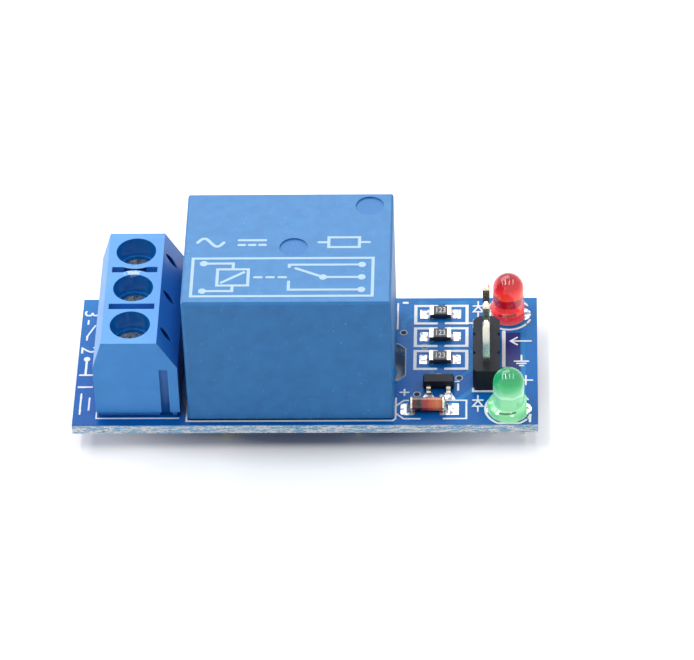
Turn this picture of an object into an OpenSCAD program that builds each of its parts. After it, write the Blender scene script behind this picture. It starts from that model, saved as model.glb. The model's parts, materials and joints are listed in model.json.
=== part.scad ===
// Single-channel relay module: a control signal on a three-pin header switches
// one changeover contact, wired to three screw terminals.
// X runs along the board from the terminals to the header, Y from the front
// long edge to the back one, and Z points up. The origin is under the middle
// of the board, level with the trimmed ends of the leads. Sizes in millimetres.

/* [Board] */
// Width of the board, front edge to back edge
board_w = 17.4; // [17.2:0.2:24]
// Thickness of the laminate
board_t = 1.0; // [0.8:0.1:2]
// Length of the trimmed leads under the board
lead_trim = 2.0; // [1.4:0.1:4]
// Left edge of the board to the terminal block
left_margin = 2.25; // [0.5:0.25:6]
// Terminal block to relay case
relay_gap = 0.75; // [0.3:0.05:3]
// Relay case to the middle of the chip column
chip_gap = 4.15; // [3.6:0.05:8]
// Chip column to the header axis
header_gap = 4.35; // [4:0.05:8]
// Header axis to the lamp axis
lamp_gap = 2.05; // [2:0.05:6]
// Lamp axis to the right edge of the board
right_margin = 2.7; // [2.2:0.1:6]
// Diameter of the through-plated signal holes
via_d = 0.5; // [0.3:0.05:0.6]
// Width of the milled isolation slot round the common pin
slot_w = 1.0; // [0.6:0.1:1.2]

/* [Terminal block] */
// Distance between neighbouring poles
pole_pitch = 5.08; // [5:0.02:5.4]
// Width of the block along the board
terminal_w = 7.75; // [7:0.05:10]
// Height of the block above the board
terminal_h = 9.25; // [9.1:0.05:14]
// Height at which the sloping flanks begin
shoulder_h = 6.2; // [6:0.1:8]
// Width of the flat top
top_w = 5.1; // [4.8:0.1:6]
// Left face to the flat top
top_inset = 0.92; // [0.5:0.02:1.2]
// Height of the recessed plinth
plinth_h = 0.65; // [0.3:0.05:0.8]
// How far the plinth stands back
plinth_step = 0.3; // [0.1:0.05:0.4]
// Diameter of the screwdriver well
well_d = 3.7; // [3.65:0.05:4]
// Depth of the screwdriver well down to the screw
well_depth = 2.15; // [2:0.05:2.6]
// Depth of the dividing slots in the top
divider_depth = 1.0; // [0.5:0.1:1.5]
// Width of the dividing slots
divider_w = 0.75; // [0.5:0.05:0.9]
// Depth of the dovetail groove in the front face
dovetail_d = 0.5; // [0.4:0.05:0.8]

/* [Clamp] */
// Width of the metal cage across the pole
cage_w = 4.1; // [3.8:0.1:4.2]
// Length of the cage along the wire
cage_l = 4.5; // [4:0.1:4.6]
// Wall of the cage
cage_wall = 0.5; // [0.4:0.05:0.6]
// Thickness of the cage's tapped roof
cage_roof = 0.8; // [0.6:0.1:1]
// Height of the wire window
window_h = 2.7; // [2.4:0.1:3]
// Outer diameter of the screw thread
screw_d = 2.9; // [2.4:0.1:2.9]
// Diameter of the screw head
head_d = 3.2; // [3:0.1:3.2]
// Height of the screw head
head_h = 1.4; // [1.2:0.1:1.6]
// Thickness of the pressure plate
plate_t = 0.6; // [0.4:0.1:0.8]
// Width of the solder pin under each cage
tail_w = 1.0; // [0.8:0.1:1]

/* [Relay] */
// Length of the relay case
relay_l = 19.0; // [18.6:0.2:24]
// Width of the relay case
relay_w = 15.2; // [15:0.1:16.4]
// Height of the relay case above the board
relay_h = 14.6; // [14:0.1:20]
// Front edge of the board to the relay case
relay_front = 0.55; // [0.2:0.05:0.8]
// Side wall of the case
case_wall = 0.7; // [0.5:0.05:0.8]
// Roof of the case
case_roof = 0.8; // [0.6:0.1:1]
// Radius of the case's upright corners
case_corner = 0.35; // [0.3:0.05:0.8]
// Bevel along the edges of the case's roof
case_edge = 0.2; // [0.1:0.05:0.3]
// Distance between the common pin and the two contact pins
contact_span = 14.2; // [13.8:0.1:14.2]
// Distance between the two pins of a pair
pin_pair = 12.0; // [11.6:0.1:12.2]
// Outer radius of the coil winding
winding_r = 4.7; // [4:0.1:4.8]
// Angle that the armature stands open at rest
armature_open = 2.6; // [2:0.1:3]

/* [Header and lamps] */
// Distance between the header pins
header_pitch = 2.54; // [2:0.02:2.54]
// Thickness of a header pin
header_pin = 0.64; // [0.5:0.02:0.64]
// Height of the header housing
header_h = 2.4; // [2:0.1:3]
// Length of the pins above the housing
header_reach = 5.1; // [4:0.1:8]
// Diameter of the lamp bodies
lamp_d = 2.9; // [2.8:0.05:3.1]
// Height of the lamps
lamp_h = 4.8; // [4.4:0.1:6]
// Collar diameter of the back lamp
red_collar_d = 3.4; // [3.3:0.05:3.9]
// Collar height of the back lamp
red_collar_h = 1.3; // [0.8:0.1:1.5]
// Collar diameter of the front lamp
green_collar_d = 3.95; // [3.4:0.05:4]
// Collar height of the front lamp
green_collar_h = 0.9; // [0.8:0.1:1.5]

/* [Chips] */
// Length of a chip resistor
chip_l = 2.0; // [1.8:0.1:2.2]
// Width of a chip resistor
chip_w = 1.25; // [1:0.05:1.4]
// Height of a chip resistor
chip_h = 0.55; // [0.4:0.05:0.8]
// Distance between the chip resistors
chip_pitch = 3.15; // [2.8:0.05:3.15]
// Length of the transistor's body
transistor_l = 2.9; // [2.8:0.1:3.1]
// Width of the transistor's body
transistor_w = 1.2; // [1.2:0.05:1.4]
// Height of the transistor's body
transistor_h = 1.0; // [0.9:0.05:1.2]
// Outer diameter of the diode
diode_d = 1.36; // [1.2:0.02:1.6]
// Length of the diode
diode_l = 3.3; // [3.1:0.1:3.6]

/* [Hidden] */
$fn = 48;

// Small amount by which a cutter runs past the face that it cuts
cut = 0.5;
// Play between parts that stand still beside each other
fit = 0.05;
// Side of a square relay coil pin, and width of the other relay pins
coil_pin_w = 0.6;
relay_pin_w = 1.0;

// Board and the row of parts on it
board_l = left_margin + terminal_w + relay_gap + relay_l + chip_gap + header_gap + lamp_gap + right_margin;
top_z = lead_trim + board_t;
lead_z = -top_z;
terminal_x = -board_l / 2 + left_margin;
relay_x = terminal_x + terminal_w + relay_gap + relay_l / 2;
relay_y = -board_w / 2 + relay_front + relay_w / 2;
chip_x = relay_x + relay_l / 2 + chip_gap;
header_x = chip_x + header_gap;
header_y = -0.3;
lamp_x = header_x + lamp_gap;
red_lamp_y = board_w / 2 - 2.35;
green_lamp_y = -board_w / 2 + 2.05;
chip_y = board_w / 2 - 2.3;
transistor_x = chip_x - 0.1;
transistor_y = -board_w / 2 + 5.25;
diode_x = chip_x - 1.1;
diode_y = -board_w / 2 + 2.05;

// Terminal block, heights above the board
poles = 3;
block_l = poles * pole_pitch;
screw_x = top_inset + top_w / 2;
head_top_z = terminal_h - well_depth;
head_seat_z = head_top_z - head_h;
cage_top_z = head_seat_z - 2 * fit;
window_top_z = cage_top_z - cage_roof;
window_floor_z = window_top_z - window_h;
cage_floor_z = window_floor_z - cage_wall;
window_w = cage_w - 2 * cage_wall;
plate_z = window_floor_z + fit;
screw_tip_z = plate_z + plate_t + 0.02;
tail_t = 0.8;
slope_run = terminal_w - top_inset - top_w;
slope_angle = atan2(terminal_h - shoulder_h, slope_run);

// Relay, seen from the middle of its case, heights above the board
case_lift = 0.3;
base_z = 0.4;
base_top = 1.5;
yoke_t = 1.0;
yoke_w = 8.0;
com_x = relay_l / 2 - 1.4;
com_t = 0.5;
com_w = 3.0;
com_top = 5.6;
contact_x = com_x - contact_span;
coil_pin_x = com_x - 1.95;
pin_y = pin_pair / 2;
hinge_x = com_x - com_t / 2;
hinge_z = relay_h - case_roof - 3.8;
pole_t = 0.6;
pole_r = 3.5;
core_r = 2.2;
core_foot_r = 1.5;
flange_t = 0.7;
flange_half = winding_r + 0.4;
tube_r = 3.0;
flange_gap = 0.25;
coil_x = hinge_x - yoke_t - flange_half - flange_gap;
bobbin_z = base_top + yoke_t;
bobbin_top = hinge_z - pole_t;
armature_t = 1.0;
armature_l = hinge_x - coil_x + pole_r + 0.6;
pole_play = 0.03;
leaf_t = 0.2;
leaf_z = pole_play + armature_t;
strip_t = 0.4;
strip_w = 2.4;
button_r = 1.1;
button_h = 0.35;
button_face_r = 0.8;
rivet_r = 0.6;
contact_play = 0.05;
reach = hinge_x - contact_x;
closed_face_z = hinge_z + reach * sin(armature_open)
    + (leaf_z + leaf_t + button_h) * cos(armature_open) + button_face_r * sin(armature_open) + contact_play;
open_face_z = hinge_z + leaf_z - button_h - contact_play;

// Header and lamps
header_w = 2.5;
header_notch = 0.3;
header_snap = 0.6;
lead_pitch = 2.54;
lamp_lead = 0.45;
red_flat = 1.5;
green_flat = 1.65;

// Leads through the board: x, y, hole, pad radius, lead width along X, lead width along Y
terminal_leads = [for (i = [-1:1]) [terminal_x + screw_x, i * pole_pitch, 1.4, 1.25, tail_w, tail_t]];
contact_leads = [for (s = [-1, 1])
    [relay_x + contact_x, relay_y + s * pin_y, 1.3, 1.25, relay_pin_w, strip_t]];
common_lead = [[relay_x + com_x, relay_y, 1.3, 1.25, com_t, relay_pin_w]];
coil_leads = [for (s = [-1, 1])
    [relay_x + coil_pin_x, relay_y + s * pin_y, 1.0, 0.95, coil_pin_w, coil_pin_w]];
header_leads = [for (i = [-1:1]) [header_x, header_y + i * header_pitch, 1.0, 0.85, header_pin, header_pin]];
lamp_leads = [for (y = [red_lamp_y, green_lamp_y], s = [-1, 1])
    [lamp_x + s * lead_pitch / 2, y, 0.9, 0.8, lamp_lead, lamp_lead]];
leads = concat(terminal_leads, contact_leads, common_lead, coil_leads, header_leads, lamp_leads);
// Signal holes, from the relay case and the middle line of the board
vias = [[0.7, 3.85], [2.7, 1.9], [5.95, -2.45], [2.05, -4.65]];
// Island of the common pin inside the isolation slot, and its place beside the pin
slot_island = [2.6, 3.0];
slot_shift = 0.3;
solder_h = 0.9;

// ---- Shapes used more than once ----

// A rectangle about the origin with round corners
module rounded_rect(size, r) {
    square([size[0] - 2 * r, size[1]], center = true);
    square([size[0], size[1] - 2 * r], center = true);
    for (sx = [-1, 1], sy = [-1, 1])
        translate([sx * (size[0] / 2 - r), sy * (size[1] / 2 - r)]) circle(r);
}

// A rectangle about the origin with cut corners
module cut_rect(size, c) {
    x = size[0] / 2;
    y = size[1] / 2;
    polygon([
        [x, y - c], [x - c, y], [c - x, y], [-x, y - c],
        [-x, c - y], [c - x, -y], [x - c, -y], [x, c - y]
    ]);
}

// A profile in Y and Z, run along X
module along_x(l) {
    rotate([90, 0, 90]) linear_extrude(l, center = true) children();
}

// A profile in X and Z, run along Y
module along_y(l) {
    rotate([90, 0, 0]) linear_extrude(l, center = true) children();
}

// A box about the Z axis between two heights
module post(w, d, z0, z1) {
    translate([-w / 2, -d / 2, z0]) cube([w, d, z1 - z0]);
}

// A cylinder about the Z axis between two heights
module rod(r, z0, z1) {
    translate([0, 0, z0]) cylinder(r = r, h = z1 - z0);
}

// The outline of a bent strip of thickness t whose middle follows the points p
function unit(v) = v / norm(v);
function side(v) = [-v[1], v[0]];
function leg(p, i) = side(unit(p[i + 1] - p[i]));
function mitre(p, i) =
    i == 0 ? leg(p, 0) :
    i == len(p) - 1 ? leg(p, i - 1) :
    let (m = unit(leg(p, i - 1) + leg(p, i))) m / (m * leg(p, i));
function strip(p, t) = concat(
    [for (i = [0:len(p) - 1]) p[i] + mitre(p, i) * t / 2],
    [for (i = [len(p) - 1:-1:0]) p[i] - mitre(p, i) * t / 2]);

module on_board(x, y) {
    translate([x, y, top_z]) children();
}

// ---- Board ----

// A channel round the right half of the common pin's island
module isolation_slot() {
    outer = slot_island + [2 * slot_w, 2 * slot_w];
    difference() {
        cut_rect(outer, 0.7);
        cut_rect(slot_island, 0.3);
        translate([-outer[0] / 2 - cut, -outer[1]]) square([outer[0] / 2 + cut, 2 * outer[1]]);
    }
}

module circuit_board() {
    color("royalblue")
    difference() {
        translate([-board_l / 2, -board_w / 2, lead_trim]) cube([board_l, board_w, board_t]);
        for (p = leads)
            translate([p[0], p[1], 0]) rod(p[2] / 2, lead_trim - cut, top_z + cut);
        for (p = vias)
            translate([relay_x + relay_l / 2 + p[0], p[1], 0]) rod(via_d / 2, lead_trim - cut, top_z + cut);
        translate([relay_x + com_x, relay_y + slot_shift, lead_trim - cut])
            linear_extrude(board_t + 2 * cut) isolation_slot();
    }
}

// ---- Terminal block, seen from its left face at board level ----

module at_pole(i) {
    on_board(terminal_x + screw_x, (i - 2) * pole_pitch) children();
}

module terminal_outline() {
    polygon([
        [0, plinth_h], [terminal_w, plinth_h], [terminal_w, shoulder_h],
        [top_inset + top_w, terminal_h], [top_inset, terminal_h], [0, shoulder_h]
    ]);
}

// Dovetail in plan: narrow at y = 0, wider at its far side
module dovetail(mouth, depth) {
    polygon([[-mouth / 2, -cut], [mouth / 2, -cut], [mouth / 2, 0],
        [mouth / 2 + 0.15, depth], [-mouth / 2 - 0.15, depth], [-mouth / 2, 0]]);
}

// Opening for a wire: a square window with flared sides, from x = 0 to x = depth
module wire_funnel(depth, w, h, flare) {
    intersection() {
        along_y(w + 2 * flare)
            polygon([[-cut, -h / 2 - flare], [0, -h / 2 - flare], [flare, -h / 2], [depth, -h / 2],
                [depth, h / 2], [flare, h / 2], [0, h / 2 + flare], [-cut, h / 2 + flare]]);
        translate([0, 0, -h]) linear_extrude(2 * h)
            polygon([[-cut, -w / 2 - flare], [0, -w / 2 - flare], [flare, -w / 2], [depth, -w / 2],
                [depth, w / 2], [flare, w / 2], [0, w / 2 + flare], [-cut, w / 2 + flare]]);
    }
}

// Pointed oval, made of two shallow parabolas
module lens_outline(l, w) {
    steps = [-1:0.25:0.75];
    polygon(concat(
        [for (t = steps) [t * l / 2, (1 - t * t) * w / 2]],
        [for (t = steps) [-t * l / 2, -(1 - t * t) * w / 2]]
    ));
}

module pole_cuts() {
    wall = screw_x - cage_l / 2;
    flare = 0.3;
    well_floor_z = head_top_z + 2 * fit;
    rod(well_d / 2, well_floor_z, terminal_h + cut);
    rod(head_d / 2 + fit, cage_top_z - cut, well_floor_z + cut);
    post(cage_l + 2 * fit, cage_w + 2 * fit, -cut, cage_top_z);
    translate([-screw_x, 0, (window_floor_z + window_top_z) / 2])
        wire_funnel(wall, window_w, window_h, flare);
    // Lens-shaped sight hole in the sloping flank
    sight = [2.15, 0.76, 0.8];
    sight_from_edge = 0.3;
    translate([top_w / 2, 0, terminal_h]) rotate([0, slope_angle, 0])
        translate([sight_from_edge + sight[0] / 2, 0, -sight[2]])
            linear_extrude(sight[2] + cut) lens_outline(sight[0], sight[1]);
}

module terminal_housing() {
    divider_l = 4.2;
    well_wall = 0.58;
    groove_x = 6.45;
    groove_h = 5.95;
    groove_mouth = 0.8;
    color("cornflowerblue")
    translate([terminal_x, 0, top_z])
    difference() {
        union() {
            along_y(block_l) terminal_outline();
            translate([plinth_step, -block_l / 2 + plinth_step, 0])
                cube([terminal_w - 2 * plinth_step, block_l - 2 * plinth_step, plinth_h + fit]);
            translate([groove_x, block_l / 2, plinth_h]) linear_extrude(groove_h - plinth_h - 0.2)
                dovetail(groove_mouth - 2 * fit, dovetail_d - fit);
        }
        translate([groove_x, -block_l / 2, -cut]) linear_extrude(groove_h + cut)
            dovetail(groove_mouth, dovetail_d);
        for (i = [-1:1]) translate([screw_x, i * pole_pitch, 0]) pole_cuts();
        translate([screw_x, -pole_pitch / 2, terminal_h - divider_depth])
            post(divider_l, divider_w, 0, divider_depth + cut);
        // The back slot is pinched where the walls of two wells reach into it
        translate([screw_x, pole_pitch / 2, terminal_h - divider_depth])
        difference() {
            post(divider_l, divider_w, 0, divider_depth + cut);
            for (s = [-1, 1]) translate([0, s * pole_pitch / 2, 0])
                rod(well_d / 2 + well_wall, -cut, 2 * cut + divider_depth);
        }
    }
}

// One pole's metal cage: a folded tube with a tapped roof and a solder pin
module terminal_cage(i) {
    color("lightgray")
    at_pole(i) {
        difference() {
            along_x(cage_l) difference() {
                translate([0, (cage_top_z + cage_floor_z) / 2])
                    rounded_rect([cage_w, cage_top_z - cage_floor_z], 0.4);
                translate([0, (window_top_z + window_floor_z) / 2])
                    square([window_w, window_h], center = true);
            }
            rod(screw_d / 2 + fit, window_top_z - cut, cage_top_z + cut);
        }
        post(tail_w, tail_t, lead_z, cage_floor_z + fit);
    }
}

// Plate under the screw tip; its grooved underside grips the wire
module pressure_plate(i) {
    play = 0.08;
    w = window_w - 2 * play;
    groove = [0.5, 0.2];
    color("silver")
    at_pole(i) translate([0, 0, plate_z]) along_x(cage_l - 0.8)
        polygon([
            [-w / 2, 0], [-groove[0], 0], [0, groove[1]], [groove[0], 0], [w / 2, 0],
            [w / 2, plate_t], [-w / 2, plate_t]
        ]);
}

module terminal_screw(i) {
    r = screw_d / 2;
    edge = 0.2;
    slot = [2.4, 0.55, 0.8];
    color("silver")
    at_pole(i) difference() {
        rotate_extrude() polygon([
            [0, screw_tip_z], [r - edge, screw_tip_z], [r, screw_tip_z + edge], [r, head_seat_z],
            [head_d / 2, head_seat_z], [head_d / 2, head_top_z - edge], [head_d / 2 - edge, head_top_z],
            [0, head_top_z]
        ]);
        for (a = [20, 110])
            rotate([0, 0, a]) post(slot[0], slot[1], head_top_z - slot[2], head_top_z + cut);
    }
}

// ---- Relay, seen from the middle of its case at board level ----

module at_relay() {
    on_board(relay_x, relay_y) children();
}

// Section of the case's roof, bevelled along both edges; its sides clear the walls
module roof_section(w) {
    side_x = w / 2 + cut;
    edge_z = relay_h - case_edge - cut;
    polygon([[side_x, 0], [side_x, edge_z], [w / 2 - case_edge, relay_h],
        [case_edge - w / 2, relay_h], [-side_x, edge_z], [-side_x, 0]]);
}

module relay_cover() {
    mark_r = 1.3;
    mark_depth = 0.15;
    inner = [relay_l - 2 * case_wall, relay_w - 2 * case_wall];
    color("steelblue")
    at_relay() difference() {
        intersection() {
            translate([0, 0, case_lift]) linear_extrude(relay_h)
                rounded_rect([relay_l, relay_w], case_corner);
            along_x(relay_l + 2 * cut) roof_section(relay_w);
            along_y(relay_w + 2 * cut) roof_section(relay_l);
        }
        translate([0, 0, case_lift - cut]) linear_extrude(relay_h - case_lift - case_roof + cut)
            rounded_rect(inner, 0.2);
        // Round marks left by the ejector pins
        for (p = [[0.5, 0], [relay_l / 2 - 2.15, relay_w / 2 - 1.84]])
            translate([p[0], p[1], 0]) rod(mark_r, relay_h - mark_depth, relay_h + cut);
    }
}

module relay_base() {
    foot_r = 0.8;
    foot_inset = 2.6;
    size = [relay_l - 2 * case_wall - 2 * fit, relay_w - 2 * case_wall - 2 * fit];
    color("midnightblue")
    at_relay() difference() {
        union() {
            translate([0, 0, base_z]) linear_extrude(base_top - base_z) rounded_rect(size, 0.2);
            for (sx = [-1, 1], sy = [-1, 1])
                translate([sx * (size[0] / 2 - foot_inset), sy * (size[1] / 2 - foot_inset), 0])
                    rod(foot_r, 0, base_z + fit);
        }
        for (s = [-1, 1]) {
            translate([contact_x, s * pin_y, 0]) post(strip_w, strip_t, base_z - cut, base_top + cut);
            translate([coil_pin_x, s * pin_y, 0])
                post(coil_pin_w, coil_pin_w, base_z - cut, base_top + cut);
        }
        translate([com_x, 0, 0]) post(com_t, com_w, base_z - cut, base_top + cut);
    }
}

// Iron frame: a foot under the coil and an upright leg with the hinge edge
module relay_yoke() {
    foot_l = hinge_x - coil_x + 3;
    inner_bend = flange_gap - fit;
    outer_bend = yoke_t + inner_bend;
    color("slategray")
    at_relay() difference() {
        along_y(yoke_w) difference() {
            union() {
                translate([hinge_x - foot_l, base_top]) square([foot_l, yoke_t]);
                translate([hinge_x - yoke_t, base_top]) square([yoke_t, hinge_z - base_top]);
                translate([hinge_x - outer_bend, base_top]) square(outer_bend);
            }
            translate([hinge_x - outer_bend, base_top + outer_bend]) circle(inner_bend);
            translate([hinge_x - outer_bend, base_top]) difference() {
                translate([0, -cut]) square([outer_bend + cut, outer_bend + cut]);
                translate([0, outer_bend]) circle(outer_bend);
            }
        }
        translate([coil_x, 0, 0]) rod(core_foot_r, base_top - cut, bobbin_z + cut);
    }
}

module coil_core() {
    color("lightsteelblue")
    at_relay() translate([coil_x, 0, 0]) {
        rod(core_foot_r, base_top, bobbin_z + fit);
        rod(core_r, bobbin_z, bobbin_top + fit);
        rod(pole_r, bobbin_top, hinge_z);
    }
}

module coil_bobbin() {
    lug = [1.2, 2.2, flange_t + 0.3];
    color("whitesmoke")
    at_relay() difference() {
        union() {
            translate([coil_x, 0, 0]) {
                for (z = [bobbin_z, bobbin_top - flange_t]) translate([0, 0, z])
                    linear_extrude(flange_t) rounded_rect([2 * flange_half, 2 * flange_half], 1);
                rod(tube_r, bobbin_z, bobbin_top);
            }
            for (s = [-1, 1]) translate([coil_pin_x, s * (pin_y - 0.4), bobbin_z])
                post(lug[0], lug[1], 0, lug[2]);
        }
        translate([coil_x, 0, 0]) rod(core_r + fit, bobbin_z - cut, bobbin_top + cut);
        for (s = [-1, 1]) translate([coil_pin_x, s * pin_y, 0])
            post(coil_pin_w, coil_pin_w, bobbin_z - cut, bobbin_z + lug[2] + cut);
    }
}

module coil_winding() {
    color("chocolate")
    at_relay() translate([coil_x, 0, 0]) difference() {
        rod(winding_r, bobbin_z + flange_t, bobbin_top - flange_t);
        rod(tube_r, bobbin_z, bobbin_top);
    }
}

module coil_pin(s) {
    color("lightgray")
    at_relay() translate([coil_pin_x, s * pin_y, 0])
        post(coil_pin_w, coil_pin_w, lead_z, bobbin_z + flange_t + 0.9);
}

// Places a shape that is drawn with the armature closed, seen from the hinge edge
module swung_open() {
    translate([hinge_x, 0, hinge_z]) rotate([0, armature_open, 0]) children();
}

module relay_armature() {
    neck = [1.6, 0.6];
    corner_r = 1.2;
    color("lightslategray")
    at_relay() swung_open() translate([0, 0, pole_play]) linear_extrude(armature_t) difference() {
        translate([-armature_l, -yoke_w / 2]) square([armature_l, yoke_w]);
        // Notches beside the hinge edge keep the plate in place
        for (s = [-1, 1]) translate([-neck[0] / 2 - 0.8, s * yoke_w / 2]) square(2 * neck, center = true);
        for (s = [-1, 1]) translate([-armature_l, s * yoke_w / 2]) circle(corner_r);
    }
}

// Height of a plane of the armature at rest, at a distance from the hinge edge
function open_height(run, height) = (height - run * sin(armature_open)) / cos(armature_open);

// Spring strip: carries the moving contact, lies on the armature and bends down the leg
module contact_leaf() {
    tip = -reach - 1.5;
    tail = fit + leaf_t / 2;
    middle = leaf_z + leaf_t / 2;
    bend = 0.08;
    path = [
        [tip, open_height(tip, middle)],
        [tail - bend, open_height(tail - bend, middle)],
        [tail, open_height(tail, middle) - bend],
        [tail, com_top + 0.3 - hinge_z]
    ];
    color("darkorange")
    at_relay() difference() {
        translate([hinge_x, 0, hinge_z]) intersection() {
            along_y(4.6) polygon(strip(path, leaf_t));
            translate([0, 0, com_top - hinge_z]) linear_extrude(2 * hinge_z)
                polygon([[tip - cut, -1.5], [-armature_l - 1, -1.5], [-armature_l + 0.5, -2.3], [2, -2.3],
                    [2, 2.3], [-armature_l + 0.5, 2.3], [-armature_l - 1, 1.5], [tip - cut, 1.5]]);
        }
        swung_open() translate([-reach, 0, 0]) rod(rivet_r, leaf_z - cut, leaf_z + leaf_t + cut);
    }
}

// Contact button with its face down at z = 0
module button() {
    rotate_extrude() polygon([
        [0, 0], [button_face_r, 0], [button_r, 0.12], [button_r, button_h], [0, button_h]
    ]);
}

// Rivet contact: a button, a shank through t of metal and a flat head, face down at z = 0
module rivet(t) {
    button();
    rod(rivet_r, button_h - 0.05, button_h + t + 0.05);
    rod(0.9, button_h + t, button_h + t + 0.15);
}

module moving_contact() {
    color("gainsboro")
    at_relay() swung_open() translate([-reach, 0, leaf_z]) {
        translate([0, 0, -button_h]) button();
        rod(rivet_r, -0.05, leaf_t + 0.05);
        translate([0, 0, leaf_t + button_h]) mirror([0, 0, 1]) button();
    }
}

// Fixed contact strip: a pin, an upright and an arm that reaches over the middle
module contact_strip(s, arm_z) {
    path = [[s * pin_y, base_z], [s * pin_y, arm_z - 0.6], [s * (pin_y - 0.18), arm_z - 0.18],
        [s * (pin_y - 0.6), arm_z], [-s * 1.3, arm_z]];
    at_relay() difference() {
        translate([contact_x, 0, 0]) {
            along_x(strip_w) polygon(strip(path, strip_t));
            translate([0, s * pin_y, 0]) post(relay_pin_w, strip_t, lead_z, base_z + fit);
        }
        translate([contact_x, 0, 0]) rod(rivet_r, arm_z - cut, arm_z + cut);
    }
}

module closed_terminal() {
    color("goldenrod") contact_strip(-1, closed_face_z + button_h + strip_t / 2);
}

module closed_contact() {
    color("gainsboro") at_relay() translate([contact_x, 0, closed_face_z]) rivet(strip_t);
}

module open_terminal() {
    color("goldenrod") contact_strip(1, open_face_z - button_h - strip_t / 2);
}

module open_contact() {
    color("gainsboro") at_relay() translate([contact_x, 0, open_face_z]) mirror([0, 0, 1]) rivet(strip_t);
}

module common_terminal() {
    color("goldenrod")
    at_relay() translate([com_x, 0, 0]) {
        post(com_t, com_w, base_z, com_top);
        post(com_t, relay_pin_w, lead_z, base_z + fit);
    }
}

// ---- Header ----

module at_header() {
    on_board(header_x, header_y) children();
}

module header_housing() {
    channel = [1.2, 0.2];
    back_y = 1.5 * header_pitch;
    color("dimgray")
    at_header() difference() {
        linear_extrude(header_h)
            for (i = [-1:1]) translate([0, i * header_pitch])
                cut_rect([header_w, header_pitch], header_notch);
        for (i = [-1:1]) translate([0, i * header_pitch, 0])
            post(header_pin, header_pin, -cut, header_h + cut);
        // Channels under the housing let flux be washed out
        for (i = [-1:1])
            translate([0, i * header_pitch, 0]) post(header_w + 2 * cut, channel[0], -cut, channel[1]);
        // The back corners broke further in when the strip was snapped to length
        for (s = [-1, 1]) translate([s * header_w / 2, back_y, 0]) rotate([0, 0, 45])
            post(header_snap * sqrt(2), header_snap * sqrt(2), -cut, header_h + cut);
    }
}

// Square pin with four bevels at its upper end
module header_pin_at(i) {
    h = header_pin / 2;
    tip = 0.15;
    top = header_h + header_reach;
    outline = [[-h, lead_z], [h, lead_z], [h, top - 0.5], [tip, top], [-tip, top], [-h, top - 0.5]];
    color("silver")
    at_header() translate([0, (i - 2) * header_pitch, 0]) intersection() {
        along_x(2 * header_pin) polygon(outline);
        along_y(2 * header_pin) polygon(outline);
    }
}

// ---- Lamps ----

// Lead frame half: a lead, an inward step and a post that rises inside the lens
module lamp_frame(s, post_w, post_top) {
    step_z = 0.5;
    inner = s * 0.3;
    outer = s * lead_pitch / 2;
    half = lamp_lead / 2;
    translate([outer, 0, 0]) post(lamp_lead, lamp_lead, lead_z, step_z + half);
    along_y(lamp_lead) polygon(strip([[outer + s * half, step_z], [inner, step_z]], lamp_lead));
    translate([inner + s * post_w / 2, 0, 0]) post(post_w, lamp_lead, step_z - half, post_top);
}

module lamp_anode() {
    lamp_frame(-1, 0.4, 2.3);
}

module lamp_cathode() {
    difference() {
        lamp_frame(1, 0.7, 2.0);
        translate([0.65, 0, 1.8]) rod(0.2, 0, cut);
    }
}

module lamp_chip() {
    translate([0.65, 0, 0]) post(0.22, 0.22, 1.8, 1.95);
}

// Foot of a lens: a sloping collar with a flat on the cathode's side
module lamp_collar(d, h, flat) {
    edge = 0.1;
    slope = 0.15;
    difference() {
        rotate_extrude() polygon([
            [0, 0], [d / 2 - edge, 0], [d / 2, edge], [d / 2, h - slope - edge],
            [d / 2 - edge, h - slope], [lamp_d / 2, h], [0, h]
        ]);
        translate([flat, -d, -cut]) cube([d, 2 * d, h + 2 * cut]);
    }
}

module lamp_lens(collar_d, collar_h, flat) {
    r = lamp_d / 2;
    difference() {
        union() {
            lamp_collar(collar_d, collar_h, flat);
            rod(r, 0, lamp_h - r);
            translate([0, 0, lamp_h - r]) sphere(r);
        }
        lamp_anode();
        lamp_cathode();
        lamp_chip();
    }
}

module at_red_lamp() {
    on_board(lamp_x, red_lamp_y) children();
}

module at_green_lamp() {
    on_board(lamp_x, green_lamp_y) children();
}

// ---- Chips ----

module at_resistor(i) {
    on_board(chip_x, chip_y - (i - 1) * chip_pitch) children();
}

cap_t = 0.05;
cap_l = 0.35;

module resistor_block() {
    post(chip_l - 2 * cap_t, chip_w, cap_t, chip_h - cap_t);
}

module resistor_body(i) {
    color("white") at_resistor(i) resistor_block();
}

module resistor_glaze(i) {
    color("black") at_resistor(i) post(chip_l - 2 * cap_l, chip_w - 0.1, chip_h - cap_t, chip_h);
}

module resistor_caps(i) {
    color("silver")
    at_resistor(i) difference() {
        for (s = [-1, 1]) translate([s * (chip_l - cap_l) / 2, 0, 0]) post(cap_l, chip_w, 0, chip_h);
        resistor_block();
    }
}

// Transistor: moulded body with drafted sides and three bent leads
transistor_pitch = 1.84;
transistor_lead_t = 0.12;
transistor_lead_w = 0.4;
transistor_part_z = 0.5;
transistor_toe = 1.3;

module at_transistor() {
    on_board(transistor_x, transistor_y) children();
}

// Where a lead stands along the body, and the side that it leaves by
function lead_side(i) = i == 3 ? 1 : -1;
function lead_x(i) = i == 3 ? 0 : (i - 1.5) * transistor_pitch;

// Section of the body: widest at the parting line, from which the leads come
module drafted(half) {
    draft = 0.1;
    lift = 0.1;
    polygon([[-half + draft, lift], [half - draft, lift], [half, transistor_part_z],
        [half - draft, transistor_h], [-half + draft, transistor_h], [-half, transistor_part_z]]);
}

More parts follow.
